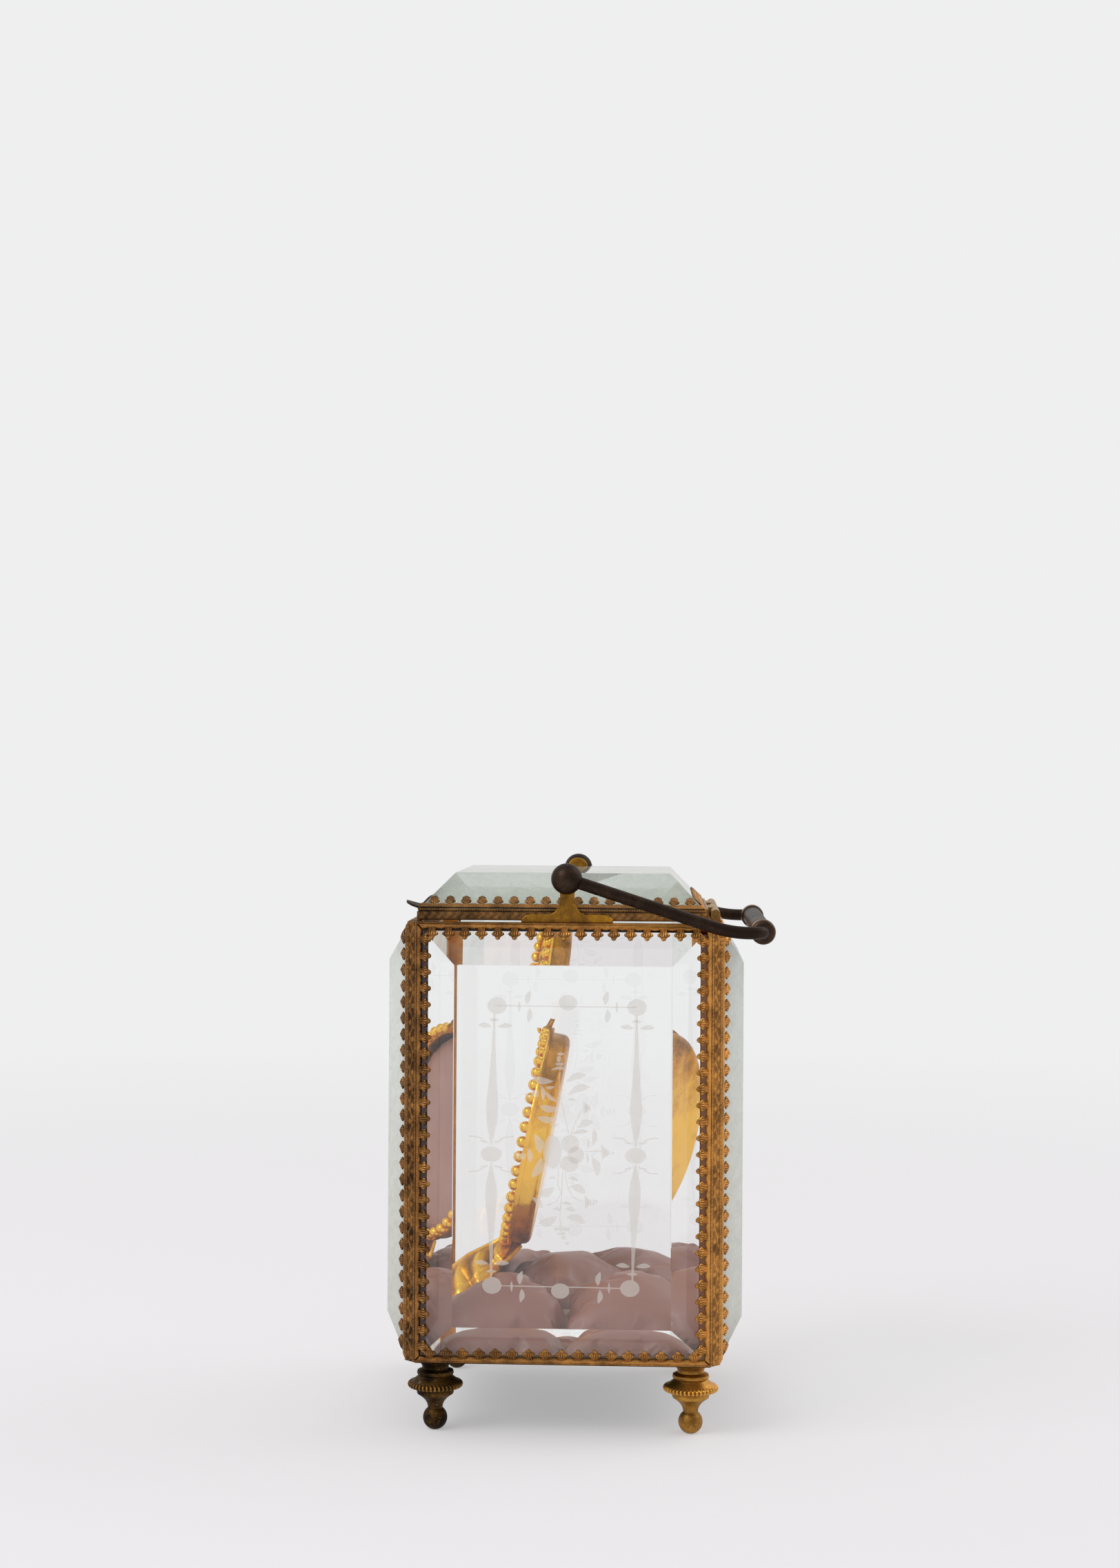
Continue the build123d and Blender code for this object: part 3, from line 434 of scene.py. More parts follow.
# Fluffy cut wool: matt, with a coarse bump of loose fibre ends half a millimetre apart
def woolTuft():
    material, tree = newMaterial("cut_wool_tuft")
    place = addNode(tree, "ShaderNodeTexCoord").outputs["Object"]
    fibre = addNode(tree, "ShaderNodeTexNoise", {
        "Vector": place, "Scale": 1 / (0.5 * mm), "Detail": 4.0, "Roughness": 0.8,
    }).outputs["Fac"]
    tint = addNode(tree, "ShaderNodeValToRGB", {"Fac": fibre}, stops=[(0.3, "#8F7C68"), (0.7, "#C9B79D")])
    bump = addNode(tree, "ShaderNodeBump", {"Height": fibre, "Distance": 0.4 * mm, "Strength": 1.0})
    shader = addNode(tree, "ShaderNodeBsdfPrincipled", {
        "Base Color": tint.outputs["Color"], "Roughness": 0.95, "Normal": bump.outputs["Normal"],
        "Sheen Weight": 0.6,
    })
    addNode(tree, "ShaderNodeOutputMaterial", {"Surface": shader.outputs["BSDF"]})
    return material


# Grey board: pressed paper fibre, matt and slightly mottled
def greyBoard():
    material, tree = newMaterial("pressed_card")
    place = addNode(tree, "ShaderNodeTexCoord").outputs["Object"]
    fibre = addNode(tree, "ShaderNodeTexNoise", {"Vector": place, "Scale": 1 / (0.8 * mm), "Detail": 3.0})
    tint = addNode(tree, "ShaderNodeValToRGB", {"Fac": fibre.outputs["Fac"]},
                   stops=[(0.3, "#7D7263"), (0.7, "#A39784")])
    shader = addNode(tree, "ShaderNodeBsdfPrincipled",
                     {"Base Color": tint.outputs["Color"], "Roughness": 0.9})
    addNode(tree, "ShaderNodeOutputMaterial", {"Surface": shader.outputs["BSDF"]})
    return material


# Thin stamped brass, gilt: rubbed gold on the ribs and brown between them
galleryBrass = oldBrass("stamped_gilt_brass", "#DE9F52", "#96693A", "#3A281A", worn=0.22, hollow=0.66)
# The same on the lid, where hands have taken more of the gilding: duller and browner
lidBrass = oldBrass("stamped_gilt_brass_lid", "#C08A4E", "#82603C", "#33241A", worn=0.22, hollow=0.64)
# Plain angle strip behind the glass: even, matt yellow that was never handled
innerBrass = oldBrass("matt_gilt_brass_angle", "#E09A2A", "#B9761C", "#5A3C18", worn=0.85, hollow=0.0,
                      roughness=0.4, metal=0.35, verdigris=0.0)
# Mercury-gilt cast and beaten brass, kept under glass: bright yellow gold with soft dents
standGilt = oldBrass("fire_gilt_brass", "#FFC545", "#D8921E", "#5E3610", worn=0.32, hollow=0.75,
                     roughness=0.16, backwards=0.0, verdigris=0.0, dents=0.16)
# Sawn sheet brass, lightly gilt: yellow brown with shallow dents
bracketGilt = oldBrass("gilt_brass_bracket", "#C8902F", "#8A6228", "#40301E", worn=0.68, hollow=0.0,
                       dents=0.05)
# Drawn brass tube and sheet: even, dull yellow
hingeBrass = oldBrass("drawn_brass_hinge", "#B08A52", "#7C6038", "#3A2C1E", worn=0.72, hollow=0.0)
# Turned brass, gilt: nearly black at the front, gold at the back, in patches as wide as a foot
footBrass = oldBrass("turned_gilt_brass_foot", "#D9A048", "#8A6430", "#261D15", worn=0.22, hollow=0.5,
                     patch=6.0, backwards=0.3, verdigris=0.4)
# Turned and drawn brass, bronzed and polished by hands: dark brown with sharp highlights
handleBronze = oldBrass("bronzed_brass", "#96704A", "#584639", "#30251F", worn=0.2, hollow=0.7, patch=10.0,
                        roughness=0.22, backwards=0.0, verdigris=0.0)
# Sheet brass gone black: dull and nearly without colour
plateMetal = oldBrass("blackened_sheet_brass", "#5B5440", "#38362C", "#1E1F1A", worn=0.5, hollow=0.0,
                      roughness=0.5)
panelGlass = plateGlass("polished_lead_glass", "#FEFEFE", dust=0.015, index=1.93, mirror="#ADADAD")
# The end panels and the lid carry painted reflection: a whitish film in their film colour where they are seen
# slantwise
endGlass = plateGlass("polished_lead_glass_ends", "#FBFDFB", most=0.75, film="#F0F3F0")
lidGlass = plateGlass("polished_lead_glass_lid", "#F8FCF9", dust=0.05, veil=(0.14, 0.3), film="#D2D8D1",
                      most=0.6, edgeOn=0.1)
panelLooks = {"right": panelGlass, "left": panelGlass, "front": endGlass, "back": endGlass}
wheelCut = {"right": frostedCut("wheel_cut_glass", 0.5), "left": frostedCut("worn_wheel_cut_glass", 0.08)}
cushionSilk = silkSatin("mauve_silk_satin", "#71483F", "#241312", "#94655C")
padSilk = silkSatin("faded_silk_satin", "#A87A72", "#6E4A46", "#BE9488", weave=0.25)
wool = woolTuft()
card = greyBoard()
print("materials made")

# The case

# The case's own sizes; where its galleries and glass meet is worked out from them and from the frame
glassLow, glassHigh = nodeBox("glass_right")
case = {
    "half": 31.5,
    "bottom": plateHigh[2],
    "top": nodeBox("top_rail_right")[1][2],
    "edgeThickness": 1.7,
    "bevelWidth": 7.65,
    "cornerBand": 3.0,
    "angleLeg": 3.0,
    "flange": 2.0,
    "glassGap": 0.02,
    "arris": 0.06,
}
bevelRise = glassHigh[0] - glassLow[0] - case["edgeThickness"]
bevelTurn = math.atan2(bevelRise, case["bevelWidth"])
sideTurns = {"right": 0, "back": 90, "left": 180, "front": -90}


# The rotation that takes the right side's pieces to another side
def sideAxes(side):
    turn = math.radians(sideTurns[side])
    return [(math.cos(turn), math.sin(turn), 0), (-math.sin(turn), math.cos(turn), 0), (0, 0, 1)]


# A bevelled panel: rectangles of given half sizes at given depths, joined ring to ring, with a narrow flat
# ground on each edge
def bevelledGlass(halfWide, halfHigh, edge, bevel, rise):
    arris = case["arris"]
    levels = [
        (arris, 0.0),
        (0.0, arris),
        (0.0, edge - arris / 2),
        (arris * 0.6, edge + arris * 0.35),
        (bevel - arris, rise + edge - arris * 0.55),
        (bevel + arris, rise + edge),
    ]
    corners = [(1, 1), (-1, 1), (-1, -1), (1, -1)]
    grid = np.array([
        [(depth, x * (halfWide - inset), y * (halfHigh - inset)) for x, y in corners]
        for inset, depth in levels
    ])
    return skin(grid, capStart=True, capEnd=True)


gap = case["glassGap"]
glassMiddle = (glassHigh[2] + glassLow[2]) / 2
panel = bevelledGlass(glassHigh[1] - gap, (glassHigh[2] - glassLow[2]) / 2 - gap, case["edgeThickness"] - gap,
                      case["bevelWidth"] - gap, bevelRise)
panel = placed(panel, (glassLow[0], 0, glassMiddle), np.eye(3))
for side in sideTurns:
    shape = placed(panel, (0, 0, 0), sideAxes(side))
    addPiece("bevelled_glass_" + side, shape, "case", panelLooks[side], ["glass_" + side],
             smooth=False)
print("glass made")

# The combs of prongs on the case and on the lid. An outline's pairs are the share of the way from root to
# tip and the share of halfWidth there
gallery = {
    "pitch": 3.3,
    "reach": 3.35,
    "rootBand": 0.8,
    "halfWidth": 1.12,
    "thickness": 0.3,
    "endMargin": 2.9,
    "ribs": 5,
    "ribHeight": 0.13,
    "outline": [(0, 0.70), (0.2, 0.64), (0.32, 0.7), (0.42, 1.0), (0.5, 1.12), (0.58, 1.08), (0.65, 0.86),
                (0.71, 0.56), (0.8, 0.46), (0.9, 0.4), (0.96, 0.26), (1.0, 0.08)],
}
lidGallery = {
    "pitch": 3.3,
    "reach": 3.2,
    "rootBand": 1.05,
    "halfWidth": 0.98,
    "thickness": 0.3,
    "endMargin": 2.9,
    "ribs": 5,
    "ribHeight": 0.08,
    "outline": [(0, 0.7), (0.1, 0.5), (0.2, 0.62), (0.3, 0.98), (0.42, 1.12), (0.54, 1.0), (0.62, 0.66),
                (0.7, 0.78), (0.82, 0.8), (0.92, 0.55), (1.0, 0.15)],
}
# The stamped band at a comb's root; its profile's pairs are share of its reach and height over thickness
bandStamp = {
    "step": 0.22,
    "scallop": 0.22,
    "beadPitch": 0.55,
    "beadHeight": 0.06,
    "profile": [(0.0, 0.0), (0.25, 0.1), (0.5, 0.02), (0.8, 0.08)],
    "lip": 0.18,
}


# One prong lying on its glass: x along the comb, y from root to tip, z off the glass. Its top is a low dome
# with ribs along it, and its relief value is the share of the full height
def prong(style):
    rows, ribs = 21, style["ribs"]
    share = np.linspace(0, 1, rows)
    places, widths = np.array(style["outline"]).T
    half = np.interp(share, places, widths) * style["halfWidth"]
    across = np.linspace(-1, 1, 2 * ribs + 1)
    fade = np.clip((0.9 - share) / 0.15, 0, 1)[:, None]
    rib = np.where(np.arange(2 * ribs + 1) % 2 == 1, 1.0, 0.0)[None] * fade
    dome = 1 - 0.3 * across[None] ** 2 - 0.12 * share[:, None] ** 2
    height = style["thickness"] * dome + style["ribHeight"] * rib
    root = style["rootBand"] * 0.9
    y = root + share * (style["reach"] - root)
    top = np.stack([half[:, None] * across, y[:, None] + 0 * across, height], -1)
    edges = half[:, None] * across[[-1, 0]]
    low = np.stack([edges, np.repeat(y[:, None], 2, 1), np.full((rows, 2), 0.01)], -1)
    grid = np.concatenate([top, low], 1)
    relief = np.concatenate([0.2 + 0.7 * rib + 0.5 * (1 - fade) * dome, np.zeros((rows, 2))], 1)
    return skin(grid, capStart=True, capEnd=True), relief.ravel()


# The band that carries the prongs: its profile is carried along the fold, beaded, and its inner edge is
# scalloped by a cosine of the prongs' pitch
def rootBand(length, mitre, style):
    along = np.linspace(0, length, int(length / bandStamp["step"]))
    span = length - 2 * style["endMargin"]
    pitch = span / round(span / style["pitch"])
    wave = 0.5 - 0.5 * np.cos(2 * np.pi * (along - style["endMargin"]) / pitch)
    reach = style["rootBand"] + bandStamp["scallop"] * wave
    bead = bandStamp["beadHeight"] * np.abs(np.sin(np.pi * along / bandStamp["beadPitch"]))
    thick = style["thickness"]
    profile = [(0.0, 0.01), *((share, thick + rise) for share, rise in bandStamp["profile"]),
               (1.0, bandStamp["lip"]), (1.0, 0.01)]
    share, height = np.array(profile).T
    y = share[None] * reach[:, None]
    z = height[None] + bead[:, None] * ((share > 0.1) & (share < 0.95))[None]
    cut = np.clip(along[:, None], y * mitre, length - y * mitre)
    grid = np.stack([cut + 0 * y, y, z], -1)
    relief = 0.25 + 0.6 * (z - 0.01) / (thick + 0.16) * (share > 0)[None]
    return skin(grid, capStart=True, capEnd=True), relief.ravel()


# A whole comb in its own axes: x along the fold, y out over the glass, z off the glass
def comb(length, mitre, style):
    one, oneRelief = prong(style)
    span = length - 2 * style["endMargin"]
    count = round(span / style["pitch"]) + 1
    offsets = np.zeros((count, 3))
    offsets[:, 0] = style["endMargin"] + np.arange(count) * span / (count - 1)
    band, bandWear = rootBand(length, mitre, style)
    shape = joined([repeated(one, offsets), band])
    return shape, np.concatenate([np.tile(oneRelief, count), bandWear])


# How far each face of the case's corner stands in, and the fold line that every comb starts from
cut = case["cornerBand"] / math.sqrt(2)
strip = gallery["thickness"]
edgeInset = strip * math.cos(bevelTurn)
endInset = cut + strip * math.sin(bevelTurn)
wide = case["half"] - endInset
tall = glassHigh[2] - glassLow[2]
rise, run = math.sin(bevelTurn), math.cos(bevelTurn)
foldX = case["half"] - edgeInset
behindGlass = case["half"] - (glassLow[0] - strip)

# The corner band's embossing in millimetres
emboss = {
    "rows": 760,
    "columns": 25,
    "ground": 0.04,
    "height": 0.24,
    "border": 1.22,
    "borderWidth": 0.16,
    "cordPitch": 0.8,
    "period": 6.6,
    "swing": 0.42,
    "stemWidth": 0.13,
    "rosettePlace": 0.34,
    "rosetteRadius": 0.5,
    "petals": 5,
    "leafPlace": (0.62, 0.85),
    "leafSize": (0.22, 0.42),
    "fieldHalf": 1.05,
}


# The embossed face of the corner band, from 0 to 1: corded borders, and between them a wavy stem with a
# rosette and two leaves in each bend. Every line and flower is a bell curve of the distance from it
def bandRelief(across, along):
    cord = 0.75 + 0.25 * np.sin(2 * np.pi * along / emboss["cordPitch"])
    border = np.exp(-((np.abs(across) - emboss["border"]) / emboss["borderWidth"]) ** 2) * cord
    period = emboss["period"]
    stem = emboss["swing"] * np.sin(2 * np.pi * along / period)
    vine = np.exp(-((across - stem) / emboss["stemWidth"]) ** 2) * 0.8
    bend = np.floor(along / (period / 2))
    local = along - (bend + 0.5) * period / 2
    hand = np.where(bend % 2 == 0, 1.0, -1.0)
    rosetteX = across + hand * emboss["rosettePlace"]
    turn = np.arctan2(rosetteX, local)
    away = np.hypot(rosetteX, local)
    rosette = np.exp(-(away / emboss["rosetteRadius"]) ** 4) * (0.7 + 0.3 * np.cos(emboss["petals"] * turn))
    (leafX, leafY), (leafWidth, leafLength) = emboss["leafPlace"], emboss["leafSize"]
    leaf = np.exp(-((across - hand * leafX) / leafWidth) ** 2 - ((np.abs(local) - leafY) / leafLength) ** 2)
    field = np.maximum.reduce([vine, rosette, leaf * 0.8])
    return np.maximum(border, field * (np.abs(across) < emboss["fieldHalf"]))


# A corner strip in the back right corner: the embossed band across the corner and a comb on each glass
def cornerStrip():
    low, high, half = case["bottom"], case["top"], case["half"]
    along = np.linspace(low, high, emboss["rows"])[:, None]
    across = np.linspace(-case["cornerBand"] / 2, case["cornerBand"] / 2, emboss["columns"])[None]
    bumps = bandRelief(across, along - low)
    depth = emboss["ground"] + emboss["height"] * bumps
    outX = half - cut / 2 + across / math.sqrt(2) + depth / math.sqrt(2)
    outY = half - cut / 2 - across / math.sqrt(2) + depth / math.sqrt(2)
    front = np.stack([outX, outY, along + 0 * depth], -1)
    behind = np.array([(half - edgeInset, half - endInset, 0), (half - endInset, half - edgeInset, 0)])
    back = behind + along[..., None] * np.array([0, 0, 1])
    band = skin(np.concatenate([front, back], 1), capStart=True, capEnd=True)
    bandValue = np.concatenate([0.3 + 0.7 * bumps, np.zeros((len(along), 2))], 1).ravel()
    row, rowRelief = comb(tall, run, gallery)
    sideRow = placed(row, (foldX, wide, glassLow[2]), [(0, 0, 1), (rise, -run, 0), (run, rise, 0)])
    backRow = placed(row, (wide, foldX, glassLow[2]), [(0, 0, 1), (-run, rise, 0), (rise, run, 0)])
    return joined([band, sideRow, backRow]), np.concatenate([bandValue, rowRelief, rowRelief])


# The inner angle of the back right corner, behind the glass edges. Its section's points are measured in
# from the corner of the case
def innerAngle():
    behind, face = behindGlass, case["half"] - glassLow[0]
    tip = behind + case["angleLeg"]
    section = [(behind, tip), (behind, behind), (tip, behind), (tip, face), (endInset, face),
               (endInset, edgeInset), (edgeInset, endInset), (face, endInset), (face, tip)]
    points = [(case["half"] - x, case["half"] - y) for x, y in section]
    return plate(points, glassLow[2], glassHigh[2], 0.03)


corners = {"back_right": (1, 1), "back_left": (-1, 1), "front_right": (1, -1), "front_left": (-1, -1)}
stripShape, stripRelief = cornerStrip()
angleShape = innerAngle()
for place, (sx, sy) in corners.items():
    axes = [(sx, 0, 0), (0, sy, 0), (0, 0, 1)]
    piece = addPiece("gallery_corner_" + place, placed(stripShape, (0, 0, 0), axes), "case",
                     galleryBrass, ["corner_strip_" + place], relief=stripRelief)
    hardEdges(piece, 50)
    addPiece("corner_angle_" + place, placed(angleShape, (0, 0, 0), axes), "case", innerBrass,
             ["inner_angle_" + place], smooth=False)


# The top rail of the right side: web over the glass edge, flange behind the glass and a comb outside
def topRail():
    half = case["half"]
    mitre = (edgeInset + strip * math.sin(bevelTurn) + cut) / 2
    end = [(half - behindGlass, half - behindGlass), (half - mitre, half - mitre),
           (half - edgeInset, half - endInset), (half, half - cut)]
    outline = end + [(x, -y) for x, y in end[::-1]]
    web = plate(outline, glassHigh[2], case["top"], 0.03)
    reach = half - behindGlass - case["angleLeg"]
    flange = block((glassLow[0] - strip, -reach, glassHigh[2] - case["flange"]),
                   (glassLow[0], reach, glassHigh[2]))
    row, rowRelief = comb(2 * wide, run, gallery)
    row = placed(row, (foldX, -wide, glassHigh[2]), [(0, 1, 0), (rise, 0, -run), (run, 0, rise)])
    plain = np.full(len(web[0]) + len(flange[0]), 0.5)
    return joined([web, flange, row]), np.concatenate([plain, rowRelief])


railShape, railRelief = topRail()
for side in sideTurns:
    top = placed(railShape, (0, 0, 0), sideAxes(side))
    bottom = placed(top, (0, 0, 2 * glassMiddle), [(1, 0, 0), (0, 1, 0), (0, 0, -1)])
    for level, shape in (("top", top), ("bottom", bottom)):
        piece = addPiece("gallery_" + level + "_" + side, shape, "case", galleryBrass,
                         [level + "_rail_" + side], relief=railRelief)
        hardEdges(piece, 50)
print("galleries made")

# The lid

lidLow, lidHigh = nodeBox("lid_glass")
rimLow, rimHigh = nodeBox("lid_rail_right")
lid = {
    "wall": 0.4,
    "edge": 1.9,
    "bevelWidth": 6.8,
    "lip": 3.0,
    "bandHeight": 1.7,
    "step": 0.16,
    "swirlPitch": (1.65, 1.7),
    "grainPitch": (0.55, 0.52),
    "ribPitch": 0.5,
    "tabThickness": 0.6,
}
lidRise = lidHigh[2] - lidLow[2] - lid["edge"]
lidTurn = math.atan2(lidRise, lid["bevelWidth"])
lidHalfX, lidHalfY = rimHigh[0], (rimHigh[1] - rimLow[1]) / 2
lidY = (rimHigh[1] + rimLow[1]) / 2
lidBottom = rimLow[2]
lidFold = lidLow[2] + lid["edge"]

shape = bevelledGlass((lidHigh[0] - lidLow[0]) / 2 - gap, (lidHigh[1] - lidLow[1]) / 2 - gap, lid["edge"],
                      lid["bevelWidth"], lidRise)
shape = placed(shape, (0, lidY, lidLow[2] + gap), [(0, 0, 1), (1, 0, 0), (0, 1, 0)])
addPiece("bevelled_glass_lid", shape, "lid", lidGlass, ["lid_glass"], smooth=False)


# The lid's rail on the right side: a lip under the glass, a wall with a granulated band below and a ribbed
# strip above, and a comb of round heads over the glass. The granules are a swirl, whose sine runs along the
# rail and is bent by a sine of the height, and a product of two sines
def lidRail(across, along):
    wall, bandTop = lid["wall"], lid["bandHeight"]
    count = int(2 * along / lid["step"])
    y = np.linspace(-along, along, count)[:, None]
    levels = np.concatenate([
        np.linspace(0, bandTop, 9),
        [bandTop + 0.03, bandTop + 0.2, bandTop + 0.23],
        np.linspace(bandTop + 0.28, lidFold - lidBottom, 5),
    ])[None]
    inBand = levels < bandTop + 0.01
    inGroove = np.abs(levels - bandTop - 0.1) < 0.12
    (swirlAlong, swirlUp), (grainAlong, grainUp) = lid["swirlPitch"], lid["grainPitch"]
    swirl = 0.5 + 0.5 * np.sin(2 * np.pi * y / swirlAlong + 1.6 * np.sin(2 * np.pi * levels / swirlUp))
    grain = 0.5 + 0.5 * np.sin(2 * np.pi * y / grainAlong) * np.sin(2 * np.pi * levels / grainUp)
    ribs = 0.5 + 0.5 * np.sin(2 * np.pi * y / lid["ribPitch"]) + 0 * levels
    fade = np.minimum(levels / 0.15, (bandTop - levels) / 0.15).clip(0, 1)
    granules = 0.35 + 0.65 * (0.55 * swirl + 0.45 * grain) * fade
    bumps = np.where(inBand, granules, np.where(inGroove, 0.15, 0.3 + 0.7 * ribs))
    depth = np.where(inBand, -0.1 + 0.16 * bumps, np.where(inGroove, -0.24, -0.17 + 0.1 * bumps))
    x = across + depth
    mitred = np.clip(np.abs(y), 0, along - (across - x)) * np.sign(y)
    outer = np.stack([x, mitred, lidBottom + levels + 0 * x], -1)
    section = [(across - wall, lidFold - 0.01), (across - wall, lidBottom + wall),
               (across - lid["lip"], lidBottom + wall), (across - lid["lip"], lidBottom)]
    inner = np.stack([
        np.column_stack([np.full(count, sx), np.clip(y[:, 0], -(along - across + sx), along - across + sx),
                         np.full(count, sz)])
        for sx, sz in section
    ], 1)
    body = skin(np.concatenate([outer, inner], 1), capStart=True, capEnd=True)
    bodyRelief = np.concatenate([bumps, np.zeros((count, len(section)))], 1).ravel()
    lean, lift = math.cos(lidTurn), math.sin(lidTurn)
    row, rowRelief = comb(2 * (along - wall), lean, lidGallery)
    row = placed(row, (across - wall, along - wall, lidFold), [(0, -1, 0), (-lean, 0, lift), (lift, 0, lean)])
    return joined([body, row]), np.concatenate([bodyRelief, rowRelief])


for side in sideTurns:
    halves = (lidHalfX, lidHalfY) if side in ("right", "left") else (lidHalfY, lidHalfX)
    shape, relief = lidRail(*halves)
    shape = placed(shape, (0, lidY, 0), sideAxes(side))
    piece = addPiece("lid_gallery_" + side, shape, "lid", lidBrass, ["lid_rail_" + side],
                     relief=relief)
    hardEdges(piece, 50)


# The finger tab: a half-oval tongue that lifts with the square of the way to its tip, a low bead round it
def fingerTab():
    low, high = nodeBox("lid_tab")
    half, reach, thick = high[0], high[1] - low[1], lid["tabThickness"]
    turn = np.linspace(0, np.pi, 40)
    share = np.linspace(0, 1, 9)[:, None]
    x = half * np.cos(turn) * share
    y = high[1] - reach * np.sin(turn) * share
    out = (high[1] - y) / reach
    lift = low[2] + (high[2] - low[2] - thick) * out ** 2
    rim = 0.12 * np.exp(-((share - 0.9) / 0.07) ** 2) - 0.04
    upper = np.stack([x, y, lift + thick + rim * (share < 1) - 0.1], -1)
    lower = np.stack([x, y, lift + 0.04], -1)
    grid = np.concatenate([upper, lower[::-1]])
    return skin(grid, closeColumns=False, closeRows=True)


hardEdges(addPiece("finger_tab", fingerTab(), "lid", lidBrass, ["lid_tab"]), 50)
print("lid made")

# The handle

ballLow, ballHigh = nodeBox("handle_balls")
barrelLow, barrelHigh = nodeBox("grip_barrel")
handle = {
    "ballRadius": (ballHigh[2] - ballLow[2]) / 2,
    "armRadius": 1.25,
    "slope": math.radians(17.8),
    "bend": 25.0,
    "elbow": 2.6,
    "socket": 1.5,
    "tenon": (1.0, 5.0),
    "collarRadius": 2.5,
    "collarLength": 3.6,
    "barrelRadius": (barrelHigh[2] - barrelLow[2]) / 2,
    "barrelNeck": 1.2,
}
ballX = ballHigh[0] - handle["ballRadius"]
pivot = np.array([0, (ballLow[1] + ballHigh[1]) / 2, (ballLow[2] + ballHigh[2]) / 2])
gripY = (barrelLow[1] + barrelHigh[1]) / 2
gripZ = (barrelLow[2] + barrelHigh[2]) / 2


# The right arm's centre line: a straight run, a long bend to level, an elbow and a tenon in the grip
def armLine():
    slope, bend, elbow = handle["slope"], handle["bend"], handle["elbow"]
    run = (gripY - pivot[1] - elbow - bend * math.sin(slope)) / math.cos(slope)
    way = np.array([0, math.cos(slope), -math.sin(slope)])
    start = np.array([ballX, pivot[1], pivot[2]]) + handle["socket"] * way
    straight = start + way * np.linspace(0, run - handle["socket"], 24)[:, None]
    turn = np.linspace(slope, 0, 12)[1:, None]
    drop = math.cos(slope) - np.cos(turn)
    curve = straight[-1] + bend * np.concatenate([0 * turn, math.sin(slope) - np.sin(turn), drop], 1)
    turn = np.linspace(0, np.pi / 2, 14)[1:, None]
    corner = curve[-1] + elbow * np.concatenate([np.cos(turn) - 1, np.sin(turn), 0 * turn], 1)
    tenon = corner[-1] + np.array([-1.0, 0, 0]) * np.linspace(*handle["tenon"], 3)[:, None]
    return np.concatenate([straight, curve, corner, tenon])


# The axes of a form turned about X
alongX = [(0, 1, 0), (0, 0, 1), (1, 0, 0)]


# A turned outline laid along X about the grip's axis
def onGrip(outline):
    return placed(lathe(outline, 40), (0, gripY, gripZ), alongX)


# A right-hand shape and its mirror image as one
def both(shape):
    return joined([placed(shape, (0, 0, 0), [(hand, 0, 0), (0, 1, 0), (0, 0, 1)]) for hand in (1, -1)])


arm = tube(armLine(), handle["armRadius"], 28)
addPiece("bail_arms", both(arm), "handle", handleBronze, ["handle_arms"])
ball = placed(lathe(ballOutline(handle["ballRadius"]), 40), (ballX, pivot[1], pivot[2]), alongX)
addPiece("bail_balls", both(ball), "handle", handleBronze, ["handle_balls"])

# A collar's outline from its inner end, as radius and share of the length: two rings and a groove between
outer = ballX - handle["elbow"]
inner = outer - handle["collarLength"]
r = handle["collarRadius"]
collarSteps = [(0.3, 0), (r - 0.35, 0), (r - 0.1, 0.06), (r, 0.16), (r, 0.3), (r - 0.3, 0.36),
               (r - 0.38, 0.42), (r - 0.3, 0.48), (r - 0.02, 0.54), (r, 0.62), (r, 0.8), (r - 0.25, 0.92),
               (r - 0.6, 1.0), (1.3, 1.0)]
collar = onGrip([(radius, inner + share * handle["collarLength"]) for radius, share in collarSteps])
collarRelief = np.repeat([0.3 + 0.7 * (radius > r - 0.05) for radius, share in collarSteps], 40)
piece = addPiece("grip_end_collars", both(collar), "handle", handleBronze, ["grip_collars"],
                 relief=np.tile(collarRelief, 2))
hardEdges(piece, 40)
neck, full = handle["barrelNeck"], handle["barrelRadius"]
barrel = onGrip([(neck, -inner - 0.02), (full, -inner + 0.03), (full, 0), (full, inner - 0.03),
                 (neck, inner + 0.02)])
piece = addPiece("grip_turned_barrel", barrel, "handle", handleBronze, ["grip_barrel"])
hardEdges(piece, 40)

# A bracket is a plate whose half outline, in (y, z) from the pivot's foot, is base, neck and eye. The base's
# points are measured in from its end, the neck's upper ones are shares of the pivot's height
bracket = {
    "thickness": 0.8,
    "chamfer": 0.12,
    "eye": 2.3,
    "baseTop": 1.7,
    "base": [(0.1, 0.0), (0, 0.35), (0.25, 0.9), (1.0, 1.45), (2.0, 1.62)],
    "shoulder": [(5.0, -0.05), (3.6, -0.1), (2.4, 0.5), (1.75, 1.6)],
    "neck": [(1.45, 0.45), (1.4, 0.6), (1.55, 0.72)],
}
bracketLow, bracketHigh = nodeBox("brackets")


# The right bracket's outline: rounded base, waisted neck, round eye, and the same mirrored
def bracketOutline():
    half, height = (bracketHigh[1] - bracketLow[1]) / 2, pivot[2] - bracketLow[2]
    turn = np.linspace(-0.85, np.pi / 2, 16)
    right = np.concatenate([
        [(half - y, z) for y, z in bracket["base"]],
        [(y, bracket["baseTop"] + z) for y, z in bracket["shoulder"]],
        [(y, height * z) for y, z in bracket["neck"]],
        np.stack([bracket["eye"] * np.cos(turn), height + bracket["eye"] * np.sin(turn)], 1),
    ])
    return np.concatenate([right, (right * [-1, 1])[::-1][1:]])


shape = plate(bracketOutline(), 0, bracket["thickness"], bracket["chamfer"])
shape = placed(shape, (bracketHigh[0] - bracket["thickness"], pivot[1], bracketLow[2]), alongX)
hardEdges(addPiece("bail_brackets", both(shape), "case", bracketGilt, ["brackets"]), 40)
print("handle made")

# The feet

footHigh = nodeBox("feet")[1]
